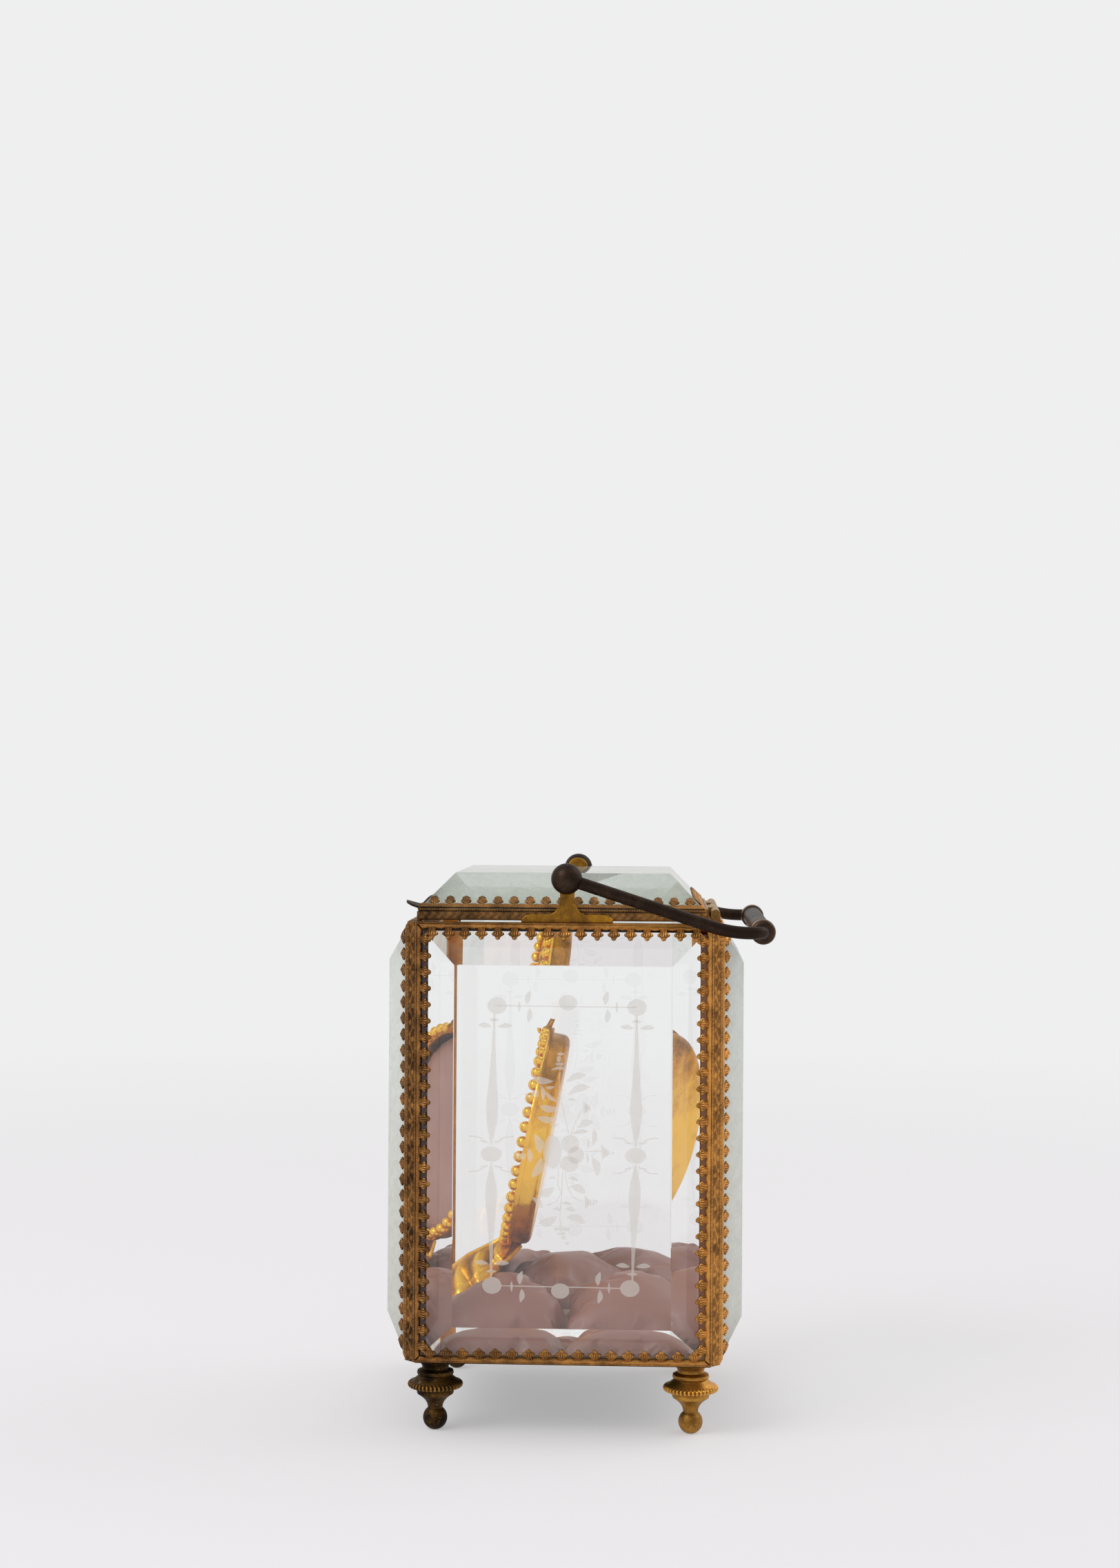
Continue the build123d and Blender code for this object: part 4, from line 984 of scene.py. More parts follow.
# Above the neck the outline's pairs are a radius and the share of the height from ball's neck to plate
foot = {
    "discRadius": 5.6,
    "height": plateLow[2],
    "neckRadius": 1.5,
    "flareRadius": 3.35,
    "flareHeight": 0.28,
    "ballRadius": 2.45,
    "ballFlat": 0.8,
    "shankRadius": 0.8,
    "shankHeight": 0.58,
    "segments": 320,
    "knurls": 40,
    "knurlDepth": 0.4,
    "knurlsFrom": 4.9,
    "rings": [(3.6, 0.295), (3.72, 0.32), (3.72, 0.36), (3.6, 0.395), (3.3, 0.405), (3.4, 0.42)],
    "disc": [(4.5, 0.43), (4.95, 0.435), (5.2, 0.44), (5.42, 0.455), (5.54, 0.475), (5.58, 0.495),
             (5.54, 0.515), (5.42, 0.535), (5.2, 0.55), (4.95, 0.555), (4.4, 0.585), (3.8, 0.635),
             (3.5, 0.66), (3.35, 0.68)],
    "cup": [(3.6, 0.70), (3.72, 0.73), (3.6, 0.775), (3.2, 0.79), (2.7, 0.82), (2.65, 0.86), (2.9, 0.91),
            (3.3, 0.96), (3.58, 1.0)],
}


# The foot's outline: a ball on its flat, a flared neck, a ring, a broad knurled disc, a ring and a cup. The
# neck widens with the power 2.2 of its height
def footOutline():
    r, flat = foot["ballRadius"], foot["ballFlat"]
    centre = math.sqrt(r * r - flat * flat)
    turn = np.linspace(-math.acos(flat / r), math.acos(foot["neckRadius"] / r), 20)
    ballPart = np.stack([r * np.cos(turn), centre + r * np.sin(turn)], 1)
    neckZ = ballPart[-1, 1]
    span = foot["height"] - neckZ
    share = np.linspace(0, 1, 10)[1:, None]
    flare = foot["neckRadius"] + (foot["flareRadius"] - foot["neckRadius"]) * share ** 2.2
    neck = np.concatenate([flare, neckZ + span * foot["flareHeight"] * share], 1)
    upper = np.array(foot["rings"] + foot["disc"] + foot["cup"])
    upper = np.stack([upper[:, 0], neckZ + span * upper[:, 1]], 1)
    shankTop = foot["height"] + foot["shankHeight"]
    low = [(0.05, 0.0), (flat * 0.6, 0.0)]
    top = [(foot["shankRadius"], foot["height"]), (foot["shankRadius"], shankTop), (0.05, shankTop)]
    return np.concatenate([low, ballPart, neck, upper, top])


# A turned foot with a knurled disc: the square of a raised cosine is cut off the radius of its widest part
def knurledFoot():
    outline, segments = footOutline(), foot["segments"]
    turn = np.arange(segments) * 2 * np.pi / segments
    radius = np.repeat(outline[:, :1], segments, 1)
    gaps = (0.5 + 0.5 * np.cos(foot["knurls"] * turn)) ** 2
    rimShare = np.clip((radius - foot["knurlsFrom"]) / 0.4, 0, 1)
    radius = radius - rimShare * foot["knurlDepth"] * gaps[None]
    grid = np.stack([radius * np.cos(turn), radius * np.sin(turn), np.repeat(outline[:, 1:], segments, 1)],
                    -1)
    proud = np.clip((outline[:, :1] - 2.2) / 3.0, 0, 0.75)
    relief = np.maximum(proud, 0.5) - 0.6 * rimShare * gaps[None] + 0.3 * rimShare * (1 - gaps)[None]
    return skin(grid, capStart=True, capEnd=True), relief.ravel()


footX = footHigh[0] - foot["discRadius"]
one, oneRelief = knurledFoot()
places = np.array([(sx * footX, sy * footX, 0) for sx in (-1, 1) for sy in (-1, 1)])
piece = addPiece("turned_feet", repeated(one, places), "case", footBrass, ["feet"],
                 relief=np.tile(oneRelief, 4))
hardEdges(piece, 50)
print("feet made")

# The watch stand

# In the stand's own plane x runs across, y up the lean and z out towards the front
stand = {
    "lean": math.radians(10.8),
    "centre": np.array([0, -7.97, 55.9]),
    "halfWidth": 20.0,
    "halfHeight": 22.25,
    "depth": 4.3,
    "wall": 0.6,
    "rim": 0.95,
    "rimThickness": 0.5,
    "beads": 46,
    "beadRadius": 1.2,
    "hookRadius": 0.42,
    "hook": [(0, 21.75, 0.3), (0, 21.75, 1.2), (0, 21.78, 1.9), (0, 21.95, 2.35), (0, 22.3, 2.6),
             (0, 22.7, 2.65)],
}
standUp = np.array([0, math.sin(stand["lean"]), math.cos(stand["lean"])])
standOut = np.array([0, -math.cos(stand["lean"]), math.sin(stand["lean"])])
standAxes = np.array([(1, 0, 0), standUp, standOut])


# Ovals through levels of (share of the oval, offset beyond it, height out of plane); a ring's levels close
def ovalSkin(levels, columns=128, ripple=None, ring=False):
    turn = np.arange(columns) * 2 * np.pi / columns
    rows = []
    for share, offset, height in levels:
        x = (stand["halfWidth"] * share + offset) * np.sin(turn)
        y = (stand["halfHeight"] * share + offset) * np.cos(turn)
        z = np.full(columns, height) if ripple is None else height + ripple(share, turn)
        rows.append(np.stack([x, y, z], 1))
    return skin(np.array(rows), capStart=not ring, capEnd=not ring, closeRows=ring)


# The beaten cup: darker towards its top and at its foot
depth, wall, rim = stand["depth"], stand["wall"], stand["rim"]
cupLevels = [(0.02, 0, -depth), (0.5, 0, -depth), (1, -1.7, -depth), (1, -1.1, -depth + 0.12),
             (1, -0.55, -depth + 0.42), (1, -0.18, -depth + 0.85), (1, 0, -depth + 1.4), (1, 0, -depth * 0.4),
             (1, 0, -0.55), (1, rim, -0.5), (1, rim, 0), (1, 0, 0), (1, -wall, -0.05),
             (1, -wall, -depth + wall), (0.5, 0, -depth + wall), (0.02, 0, -depth + wall)]
cup = ovalSkin(cupLevels)
level = cup[0][:, 1] / stand["halfHeight"]
cupRelief = 0.9 - 0.8 * np.clip((level - 0.15) / 0.65, 0, 1) - 0.65 * np.clip((-level - 0.6) / 0.25, 0, 1)
cup = placed(cup, stand["centre"], standAxes)
piece = addPiece("oval_cup", cup, "case", standGilt, ["stand_cup"], relief=cupRelief)
hardEdges(piece, 40)


# Gathers of silk round the pad: two sines of the turn, which fade towards the middle
def padRipple(share, turn):
    edge = np.clip((share - 0.45) / 0.5, 0, 1) ** 2
    return edge * 0.10 * (np.sin(34 * turn + 1.5 * np.sin(5 * turn)) + 0.6 * np.sin(61 * turn))


floorZ = -depth + wall + 0.02
padLevels = [(0.02, 0, floorZ), (0.9, -0.8, floorZ), (0.96, -0.35, floorZ + 0.5),
             (0.965, -0.35, floorZ + 1.2), (0.94, -0.35, floorZ + 1.9), (0.88, -0.3, floorZ + 2.35),
             (0.78, 0, floorZ + 2.6), (0.6, 0, floorZ + 2.75), (0.4, 0, floorZ + 2.82),
             (0.2, 0, floorZ + 2.85), (0.02, 0, floorZ + 2.86)]
pad = placed(ovalSkin(padLevels, 256, padRipple), stand["centre"], standAxes)
piece = addPiece("silk_pad", pad, "case", padSilk, ["stand_pad"], relief=np.full(len(pad[0]), 0.4))


# The beaded rim: a flat oval wire, and pearls along it with a gap at the top for the crest
def beadedRim():
    thick = stand["rimThickness"]
    wire = ovalSkin([(1, -rim, 0), (1, -rim, thick - 0.1), (1, -rim + 0.1, thick), (1, rim - 0.1, thick),
                     (1, rim, thick - 0.1), (1, rim, 0.0)], ring=True)
    turn = 2 * np.pi * np.arange(1, stand["beads"]) / stand["beads"]
    centres = np.stack([stand["halfWidth"] * np.sin(turn), stand["halfHeight"] * np.cos(turn),
                        np.full(len(turn), rim)], 1)
    pearls = repeated(lathe(ballOutline(stand["beadRadius"], 9, 0.02), 14), centres)
    return joined([wire, pearls])


# The crest leaf stands on the rim: half widths by share of its height
crest = {
    "foot": 21.4,
    "height": 3.7,
    "lobes": [(0, 0.7), (0.15, 1.9), (0.28, 1.45), (0.38, 2.0), (0.55, 1.25), (0.65, 1.6), (0.78, 0.8),
              (0.9, 0.7), (1.0, 0.05)],
    "ribHeight": 0.25,
    "veinHeight": 0.12,
    "leanBack": 1.25,
    "cupping": 0.35,
}


# The crest is cupped forward by the square of the way across, leans back as it rises, and has a rib down its
# middle and a cosine's veins beside it
def crestLeaf():
    share = np.linspace(0, 1, 22)[:, None]
    across = np.linspace(-1, 1, 15)[None]
    half = np.interp(share, *np.array(crest["lobes"]).T)
    x = half * across
    y = crest["foot"] + share * crest["height"] + 0 * across
    rib = crest["ribHeight"] * np.exp(-(across / 0.14) ** 2) + crest["veinHeight"] * np.cos(9 * across)
    z = 1.55 - crest["leanBack"] * share + crest["cupping"] * across ** 2 * (1 - share) + rib
    top = np.stack([x, y, z], -1)
    under = np.stack([x, y, z - 1.1 + 0.6 * share], -1)[:, ::-1]
    return skin(np.concatenate([top, under], 1), capStart=True, capEnd=True)


# Adds a gilt part of the stand that is drawn in the stand's own plane, with one even wear
def addToStand(name, shape, node, wear):
    shape = placed(shape, stand["centre"], standAxes)
    return addPiece(name, shape, "case", standGilt, [node], relief=np.full(len(shape[0]), wear))


hardEdges(addToStand("beaded_rim", beadedRim(), "stand_beading", 0.9), 50)
addToStand("leaf_crest", crestLeaf(), "stand_crest", 0.1)
addToStand("bow_hook", tube(stand["hook"], stand["hookRadius"], 14, side=(1, 0, 0)), "watch_hook", 0.8)

# The leaf foot runs from under the cup down to the front: half width and arch height by share of the way.
# The stud behind its toe holds it to the board
leafFoot = {
    "root": stand["centre"] - stand["halfHeight"] * standUp - stand["depth"] / 2 * standOut,
    "toe": np.array([0, -25.593, 18.0]),
    "width": [(0, 2.6), (0.1, 4.6), (0.2, 6.6), (0.27, 5.7), (0.38, 7.9), (0.48, 9.4), (0.56, 8.5),
              (0.68, 10.4), (0.8, 11.4), (0.9, 10.8), (1.0, 9.6)],
    "arch": [(0, 2.4), (0.2, 3.8), (0.45, 5.6), (0.7, 6.3), (0.85, 5.6), (1.0, 3.4)],
    "midrib": 0.5,
    "veins": 4.6,
    "veinHeight": 0.42,
    "cordPlaces": (0.93, 0.82),
    "cordHeights": (0.4, 0.36),
    "thickness": 0.9,
    "studRadius": 1.5,
    "studHeight": 8.5,
    "studY": -20.0,
}


# The cast leaf: arched across, with a midrib, side veins that sweep forward and two corded lines along its
# edges. Each point stands off the slope by the arch times (1 - across to the power 2.2), plus these bumps
def castLeaf():
    root, way = leafFoot["root"], leafFoot["toe"] - leafFoot["root"]
    length = np.linalg.norm(way)
    way = way / length
    up = np.array([0, way[2], -way[1]])
    share = np.linspace(0.0, 1, 110)[:, None]
    across = np.linspace(-1, 1, 61)[None]
    half = np.interp(share, *np.array(leafFoot["width"]).T)
    arch = np.interp(share, *np.array(leafFoot["arch"]).T)
    side = np.abs(across)
    midrib = leafFoot["midrib"] * np.exp(-(across / 0.07) ** 2)
    sweep = np.sin(2 * np.pi * (share * leafFoot["veins"] - side * 0.9))
    vein = leafFoot["veinHeight"] * sweep * np.clip(side * 3, 0, 1) * (1 - side ** 6)
    cords = [height * np.exp(-((side - place) / 0.035) ** 2)
             for place, height in zip(leafFoot["cordPlaces"], leafFoot["cordHeights"])]
    bumps = midrib + vein * np.clip(share * 5, 0, 1) + (cords[0] + cords[1])
    stands = arch * (1 - side ** 2.2) + bumps
    x = half * across
    point = root + way * (share * length + 0 * across)[..., None] + up * stands[..., None]
    point[..., 0] = x
    under = point - up * leafFoot["thickness"]
    under[..., 0] = x * 0.93
    grid = np.concatenate([point, under[:, ::-1]], 1)
    relief = np.concatenate([0.35 + bumps, 0 * bumps], 1).ravel()
    return skin(grid, capStart=True, capEnd=True), relief


leafShape, leafRelief = castLeaf()
r, top = leafFoot["studRadius"], leafFoot["studHeight"]
stud = lathe([(0.1, 0), (r, 0), (r, top), (0.1, top)], 24)
stud = placed(stud, (0, leafFoot["studY"], case["bottom"] + 0.02), np.eye(3))
piece = addPiece("leaf_foot", joined([leafShape, stud]), "case", standGilt, ["stand_foot"],
                 relief=np.concatenate([leafRelief, np.zeros(len(stud[0]))]))
hardEdges(piece, 60)
print("stand made")

# The cushion

boardHigh = nodeBox("cushion_board")[1]
cushionLow, cushionHigh = nodeBox("cushion")
buttonLow = nodeBox("tuft_buttons")[0]
cushion = {
    "half": boardHigh[0] - 0.1,
    "height": cushionHigh[2] - cushionLow[2],
    # half width and height of the section from the middle to the lower edge, as shares of the whole
    "section": [(0, 1.0), (0.2, 1.0), (0.4, 0.98), (0.55, 0.93), (0.68, 0.84), (0.8, 0.7), (0.9, 0.53),
                (0.97, 0.36), (1.0, 0.22), (0.985, 0.1), (0.95, 0.0)],
    "squareness": 7,
    "sidesDrawnIn": 0.035,
    "tufts": np.array([(16.0, 0.0), (0.0, 14.5), (-16.0, 0.0), (0.0, -14.5)]),
    "tuftDepth": 8.9,
    "tuftRadius": 1.2,
    "tuftReach": 6.2,
    "seamDepth": 5.4,
    "edgeSeamDepth": 7.4,
    "seamReach": 6.8,
    "puckerHeight": 0.3,
    "leafHalf": 13.5,
    "buttonRadius": 2.2,
    "buttonHeight": 1.15,
    "count": 132,
    "slack": 0.07,
    "pressure": 5.0,
    "frames": 20,
    "mostMove": 2.2,
}


# How far a point lies from a segment, for whole arrays of points
def fromSegment(x, y, start, end):
    way = np.array(end, float) - np.array(start, float)
    share = ((x - start[0]) * way[0] + (y - start[1]) * way[1]) / (way @ way)
    share = np.clip(share, 0, 1)
    return np.hypot(x - start[0] - share * way[0], y - start[1] - share * way[1])


# How high a pillow stands at a distance from its seam: a circle's arc, 0 at the seam and 1 from its reach on
def pillow(away, reach):
    share = np.clip(away / reach, 0, 1)
    return np.sqrt(1 - (1 - share) ** 2)


# The cushion's height under the leaf foot, which presses it down from the root to the toe
def leafBed(y):
    root, toe = leafFoot["root"], leafFoot["toe"]
    slope = (root[2] - toe[2]) / (root[1] - toe[1])
    line = toe[2] + (y - toe[1]) * slope - boardHigh[2] - 0.75
    return np.maximum(line, 1.2)


# The tufted cover before it settles: a square sheet pulled over a pad. The sheet's distance from its middle
# picks a place on the cushion's section. Each seam takes its depth times (1 - pillow) off the height: seams
# run from button to button and from each button to the edge, and each button pulls a funnel with puckers
# round it
def coverSheet():
    half, height, count = cushion["half"], cushion["height"], cushion["count"]
    a, b = np.meshgrid(np.linspace(-1, 1, count), np.linspace(-1, 1, count), indexing="ij")
    ring = np.maximum(np.abs(a), np.abs(b)) + 1e-9
    dx, dy = a / ring, b / ring
    power = cushion["squareness"]
    norm = (np.abs(dx) ** power + np.abs(dy) ** power) ** (1 / power)
    dx, dy = dx / norm, dy / norm
    section = evenly(cushion["section"], 60)
    place = np.linspace(0, 1, 60)
    outwards, level = np.interp(ring, place, section[:, 0]), np.interp(ring, place, section[:, 1])
    draw = 1 - cushion["sidesDrawnIn"] * (1 - np.minimum(np.abs(dx), np.abs(dy)) ** 2) * outwards
    x, y = half * outwards * dx * draw, half * outwards * dy * draw
    top = np.clip((level - 0.2) / 0.35, 0, 1)
    base = level * height + 0.35 * np.sin(x * 0.31 + 0.8) * np.sin(y * 0.27 + 1.9) * top
    warpedX = x + 0.6 * np.sin(y * 0.55 + 0.4)
    warpedY = y + 0.6 * np.sin(x * 0.5 + 1.1)
    z, nearest = base.copy(), np.full(x.shape, 99.0)
    pucker = np.zeros_like(x)
    tufts = cushion["tufts"]
    for number, tuft in enumerate(tufts):
        centreAway = np.hypot(x - tuft[0], y - tuft[1])
        away = centreAway - cushion["tuftRadius"]
        turn = np.arctan2(y - tuft[1], x - tuft[0])
        z = np.minimum(z, base - cushion["tuftDepth"] * top * (1 - pillow(away, cushion["tuftReach"])))
        folds = np.sin(8 * turn + 2.1 * number) + 0.7 * np.sin(13 * turn + number)
        pucker += cushion["puckerHeight"] * folds * np.exp(-((centreAway - 4.6) / 2.6) ** 2)
        nearest = np.minimum(nearest, away)
        seams = [(tufts[(number + 1) % 4], cushion["seamDepth"]), (tuft * 1.9, cushion["edgeSeamDepth"])]
        for end, deep in seams:
            away = fromSegment(warpedX, warpedY, tuft, end)
            z = np.minimum(z, base - deep * top * (1 - pillow(away, cushion["seamReach"])))
            nearest = np.minimum(nearest, away)
    z = z + top * pucker
    front = np.clip((-y - 8) / 6, 0, 1) * np.clip((cushion["leafHalf"] - np.abs(x)) / 2.5, 0, 1)
    bed = leafBed(y)
    z = np.where(front > 0, np.minimum(z, bed * front + z * (1 - front)), z)
    z = np.maximum(z, 0.02)
    held = (nearest < 0.5) | (ring > 0.93) | (front > 0.1)
    # relief is low along the seams, round the tufts and down the lower sides and high on the pillows' tops:
    # the silk paints shade where it is low and a highlight where it is high
    relief = np.clip(0.2 + 0.75 * pillow(nearest, 4.0) * (0.6 + 0.4 * level), 0, 1)
    return np.stack([x, y, z + boardHigh[2]], -1), held.ravel(), relief.ravel()


# The cover as cloth: cut a little too large, held at its seams, buttons and lower edge, and pressed out by
# its filling. It is simulated ten times as large, where the solver's usual settings hold, and each point's
# way is cut off at a few millimetres
def settledSheet(grid, held):
    points, quads, polygons = skin(grid, closeColumns=False)
    big = 10 * mm
    mesh = bpy.data.meshes.new("cover_sheet")
    mesh.from_pydata((points * big).tolist(), [], quads.tolist())
    sheet = bpy.data.objects.new("cover_sheet", mesh)
    scene = bpy.context.scene
    scene.collection.objects.link(sheet)
    sewn = sheet.vertex_groups.new(name="sewn")
    sewn.add(np.flatnonzero(held).tolist(), 1.0, "REPLACE")
    cloth = sheet.modifiers.new("cloth", "CLOTH")
    settings = cloth.settings
    settings.vertex_group_mass = "sewn"
    settings.quality = 5
    settings.mass = 0.3
    settings.tension_stiffness = settings.compression_stiffness = 20
    settings.shear_stiffness = 8
    settings.bending_stiffness = 0.25
    settings.shrink_min = settings.shrink_max = -cushion["slack"]
    settings.use_pressure = True
    settings.uniform_pressure_force = cushion["pressure"]
    settings.effector_weights.gravity = 0
    cloth.collision_settings.use_collision = False
    cloth.point_cache.frame_start, cloth.point_cache.frame_end = 1, cushion["frames"]
    for number in range(1, cushion["frames"] + 1):
        scene.frame_set(number)
    settled = sheet.evaluated_get(bpy.context.evaluated_depsgraph_get()).data
    moved = np.empty(points.size)
    settled.vertices.foreach_get("co", moved)
    way = moved.reshape(-1, 3) / big - points
    length = np.linalg.norm(way, axis=1, keepdims=True)
    print("cover settled, longest way %.2f mm" % length.max())
    way *= np.minimum(1, cushion["mostMove"] / np.maximum(length, 1e-9))
    bpy.data.objects.remove(sheet)
    scene.frame_set(1)
    return (points + way).reshape(grid.shape)


# The whole cushion: the settled cover and a flat underside
def tuftedCushion():
    grid, held, relief = coverSheet()
    grid = settledSheet(grid, held)
    count = len(grid)
    index = np.arange(count * count).reshape(count, count)
    edge = np.concatenate([index[0, :-1], index[:-1, -1], index[-1, :0:-1], index[:0:-1, 0]])
    points, quads, polygons = skin(grid, closeColumns=False)
    return outward((points, quads, [edge.tolist()])), relief


shape, relief = tuftedCushion()
piece = addPiece("tufted_cushion", shape, "case", cushionSilk, ["cushion"], relief=relief)


# A wool button: a flattened ball whose surface is ruffled by two crossed waves
def woolButton():
    turn = np.linspace(-np.pi / 2, np.pi / 2, 17)[:, None]
    around = (np.arange(26) * 2 * np.pi / 26)[None]
    ruffle = 1 + 0.07 * np.sin(7 * around + 5 * turn) + 0.05 * np.sin(11 * around - 9 * turn)
    radius = cushion["buttonRadius"] * np.maximum(np.cos(turn), 0.03) * ruffle
    height = cushion["buttonHeight"] * np.sin(turn) * ruffle
    grid = np.stack([radius * np.cos(around), radius * np.sin(around), height], -1)
    return skin(grid, capStart=True, capEnd=True)


centres = np.column_stack([cushion["tufts"], np.full(4, buttonLow[2] + 1.1)])
addPiece("wool_buttons", repeated(woolButton(), centres), "case", wool, ["tuft_buttons"])
print("cushion made")

# Wheel-cut pattern on the side panels

# The cutter's plan of one side panel in millimetres from the panel's middle line and the table. A column is
# its top disc, middle oval and low disc; the bouquet is leaves (start, end, width), discs (middle, half
# width, half height) and stems. The lancet's pairs are a share of its length and the half width there
engraving = {
    "stand": 0.02,
    "columns": [((-13.0, 86.3), (-14.0, 57.0), (-13.7, 31.1)), ((14.6, 86.2), (14.5, 57.0), (13.5, 30.9))],
    "railMiddles": [(1.0, 87.0), (-0.2, 30.2)],
    "endDisc": (1.9, 1.65),
    "middleOval": (2.1, 1.5),
    "railOval": (1.8, 1.5),
    "railWidth": 0.24,
    "stemWidth": 0.2,
    "curlWidth": 0.28,
    "sprayPlace": 7.7,
    "lancet": [(0, 0.18), (0.27, 0.38), (0.49, 0.73), (0.62, 1.06), (0.73, 1.2), (0.82, 1.02), (0.91, 0.55),
               (1, 0.1)],
    "leaves": [
        ((0.8, 71.4), (4.8, 72.9), 1.28), ((1.1, 68.9), (5.5, 70.5), 1.39), ((1.0, 67.9), (2.9, 67.7), 0.51),
        ((4.1, 67.9), (4.3, 64.9), 0.81), ((3.0, 62.4), (6.2, 63.6), 1.32), ((6.1, 62.4), (6.1, 59.0), 1.03),
        ((1.9, 61.1), (5.3, 61.6), 0.88), ((4.9, 60.5), (5.0, 58.1), 0.44), ((7.7, 59.3), (8.0, 56.1), 0.81),
        ((4.8, 57.5), (4.9, 55.3), 0.44), ((5.9, 56.7), (7.0, 52.9), 1.47), ((1.1, 52.4), (3.3, 52.0), 0.73),
        ((1.5, 50.9), (4.7, 49.5), 1.47), ((4.5, 49.3), (4.7, 46.4), 0.73), ((-0.1, 47.5), (1.9, 47.2), 0.59),
        ((-1.8, 46.4), (-0.1, 46.1), 0.66), ((0.6, 46.4), (2.8, 46.0), 0.88),
        ((-0.9, 44.9), (-4.6, 43.5), 1.61), ((0.9, 44.8), (4.7, 43.6), 1.61),
        ((-2.7, 52.4), (-1.0, 52.4), 0.44), ((-1.5, 50.6), (-4.6, 49.1), 1.65),
        ((-5.9, 48.6), (-3.8, 46.4), 1.1), ((-1.8, 71.5), (-6.1, 72.5), 1.32),
        ((-1.5, 70.5), (-3.4, 70.3), 0.51), ((-4.3, 70.8), (-3.9, 67.7), 0.88),
        ((-0.9, 67.5), (-3.4, 69.5), 0.73), ((-0.7, 66.2), (-4.5, 66.6), 1.32),
        ((-0.9, 64.2), (-5.0, 64.4), 1.25), ((-0.5, 63.1), (-2.5, 63.0), 0.51),
        ((-5.4, 61.1), (-4.4, 57.2), 1.61), ((-6.8, 58.3), (-6.4, 55.4), 1.03),
        ((-4.1, 56.5), (-5.9, 52.5), 1.61), ((-2.3, 73.7), (0.9, 73.9), 0.59),
    ],
    "discs": [
        ((-1.9, 57.6), 1.83, 3.3), ((1.6, 59.2), 1.83, 1.76), ((2.7, 57.0), 1.65, 1.65),
        ((1.4, 55.2), 1.83, 1.54), ((4.8, 66.3), 0.33, 0.81), ((5.3, 66.3), 0.22, 0.48),
        ((8.7, 57.5), 0.33, 0.81), ((9.2, 57.5), 0.22, 0.48), ((10.0, 57.5), 0.22, 0.44),
        ((5.2, 47.7), 0.22, 0.81), ((5.7, 47.7), 0.18, 0.73), ((6.3, 47.8), 0.18, 0.66),
        ((6.8, 47.9), 0.15, 0.44), ((0.0, 42.4), 1.61, 0.4), ((0.0, 41.5), 0.81, 0.33),
        ((0.4, 40.7), 0.51, 0.37), ((1.1, 39.6), 0.37, 0.29), ((-5.1, 69.1), 0.37, 0.81),
        ((-5.7, 69.1), 0.44, 0.66), ((-6.7, 68.5), 0.22, 0.37), ((-7.7, 56.7), 0.55, 0.73),
        ((-8.8, 56.8), 0.4, 0.59), ((-0.4, 76.9), 0.66, 0.29), ((-0.7, 75.9), 0.48, 0.59),
        ((-0.6, 74.9), 0.88, 0.33),
    ],
    "stems": [
        [(0.2, 66.2), (0.7, 63.6), (1.3, 61.2)], [(3.7, 65.7), (2.5, 63.2), (1.7, 61.0)],
        [(4.3, 57.8), (6.2, 57.8), (8.0, 57.9)], [(0.6, 53.7), (1.1, 50.8), (2.2, 48.7), (4.2, 47.8)],
        [(-0.7, 54.1), (-0.8, 51.1), (0.0, 49.3), (-0.3, 46.4), (-0.4, 44.5), (0.0, 42.9)],
        [(0.1, 53.7), (0.0, 49.7), (-1.1, 47.7), (-2.9, 47.1)],
        [(-0.5, 73.3), (-0.7, 70.2), (-0.1, 66.9), (0.4, 65.1)],
    ],
}


# A flat leaf cut: two bowed edges between its ends, half a sine wide, widest at the given share of its length
def leafCut(start, end, width, widest=0.5, bow=0.0, rows=14):
    start, end = np.array(start, float), np.array(end, float)
    share = np.linspace(0, 1, rows)
    way = end - start
    length = np.linalg.norm(way)
    normal = np.array([-way[1], way[0]]) / length
    warp = np.where(share < widest, share / widest * 0.5, 0.5 + (share - widest) / (1 - widest) * 0.5)
    half = width / 2 * np.abs(np.sin(np.pi * warp)) ** 0.9
    spine = start + share[:, None] * way + normal * (bow * length * np.sin(np.pi * share))[:, None]
    return ribbonShape(spine + normal * half[:, None], spine - normal * half[:, None])


# Two edge lines as one flat strip in (across, up)
def ribbonShape(left, right):
    grid = np.stack([left, right], 1)
    grid = np.concatenate([np.zeros(grid.shape[:2] + (1,)), grid], -1)
    index = np.arange(len(left) * 2).reshape(-1, 2)
    quads = np.stack([index[:-1, 0], index[1:, 0], index[1:, 1], index[:-1, 1]], -1)
    return grid.reshape(-1, 3), quads, []


# A round or oval cut as one strip between its right and left arcs
def ovalCut(centre, halfWide, halfHigh):
    turn = np.linspace(-np.pi / 2, np.pi / 2, 28)
    up = centre[1] + halfHigh * np.sin(turn)
    arcs = [np.stack([centre[0] + hand * halfWide * np.cos(turn), up], 1) for hand in (1, -1)]
    return ribbonShape(*arcs)


# A thin cut line through points
def lineCut(points, width):
    points = evenly(points, 24)
    way = np.gradient(points, axis=0)
    way /= np.linalg.norm(way, axis=1, keepdims=True)
    normal = np.stack([-way[:, 1], way[:, 0]], 1) * width / 2
    return ribbonShape(points + normal, points - normal)


# A lancet from a disc to the middle oval: its half width is read off by the share of the way
def lancet(start, end):
    start, end = np.array(start, float), np.array(end, float)
    share = np.linspace(0, 1, 48)[:, None]
    half = np.interp(share, *np.array(engraving["lancet"]).T)
    way = end - start
    normal = np.array([-way[1], way[0]]) / np.linalg.norm(way)
    spine = start + share * way
    return ribbonShape(spine + normal * half, spine - normal * half)


# The bouquet in the panel's middle: leaves, discs and stems
def bouquet():
    cuts = [leafCut(start, end, width * 1.05, 0.55, bow=0.1) for start, end, width in engraving["leaves"]]
    cuts += [ovalCut(middle, halfWide, halfHigh) for middle, halfWide, halfHigh in engraving["discs"]]
    return cuts + [lineCut(points, engraving["stemWidth"]) for points in engraving["stems"]]


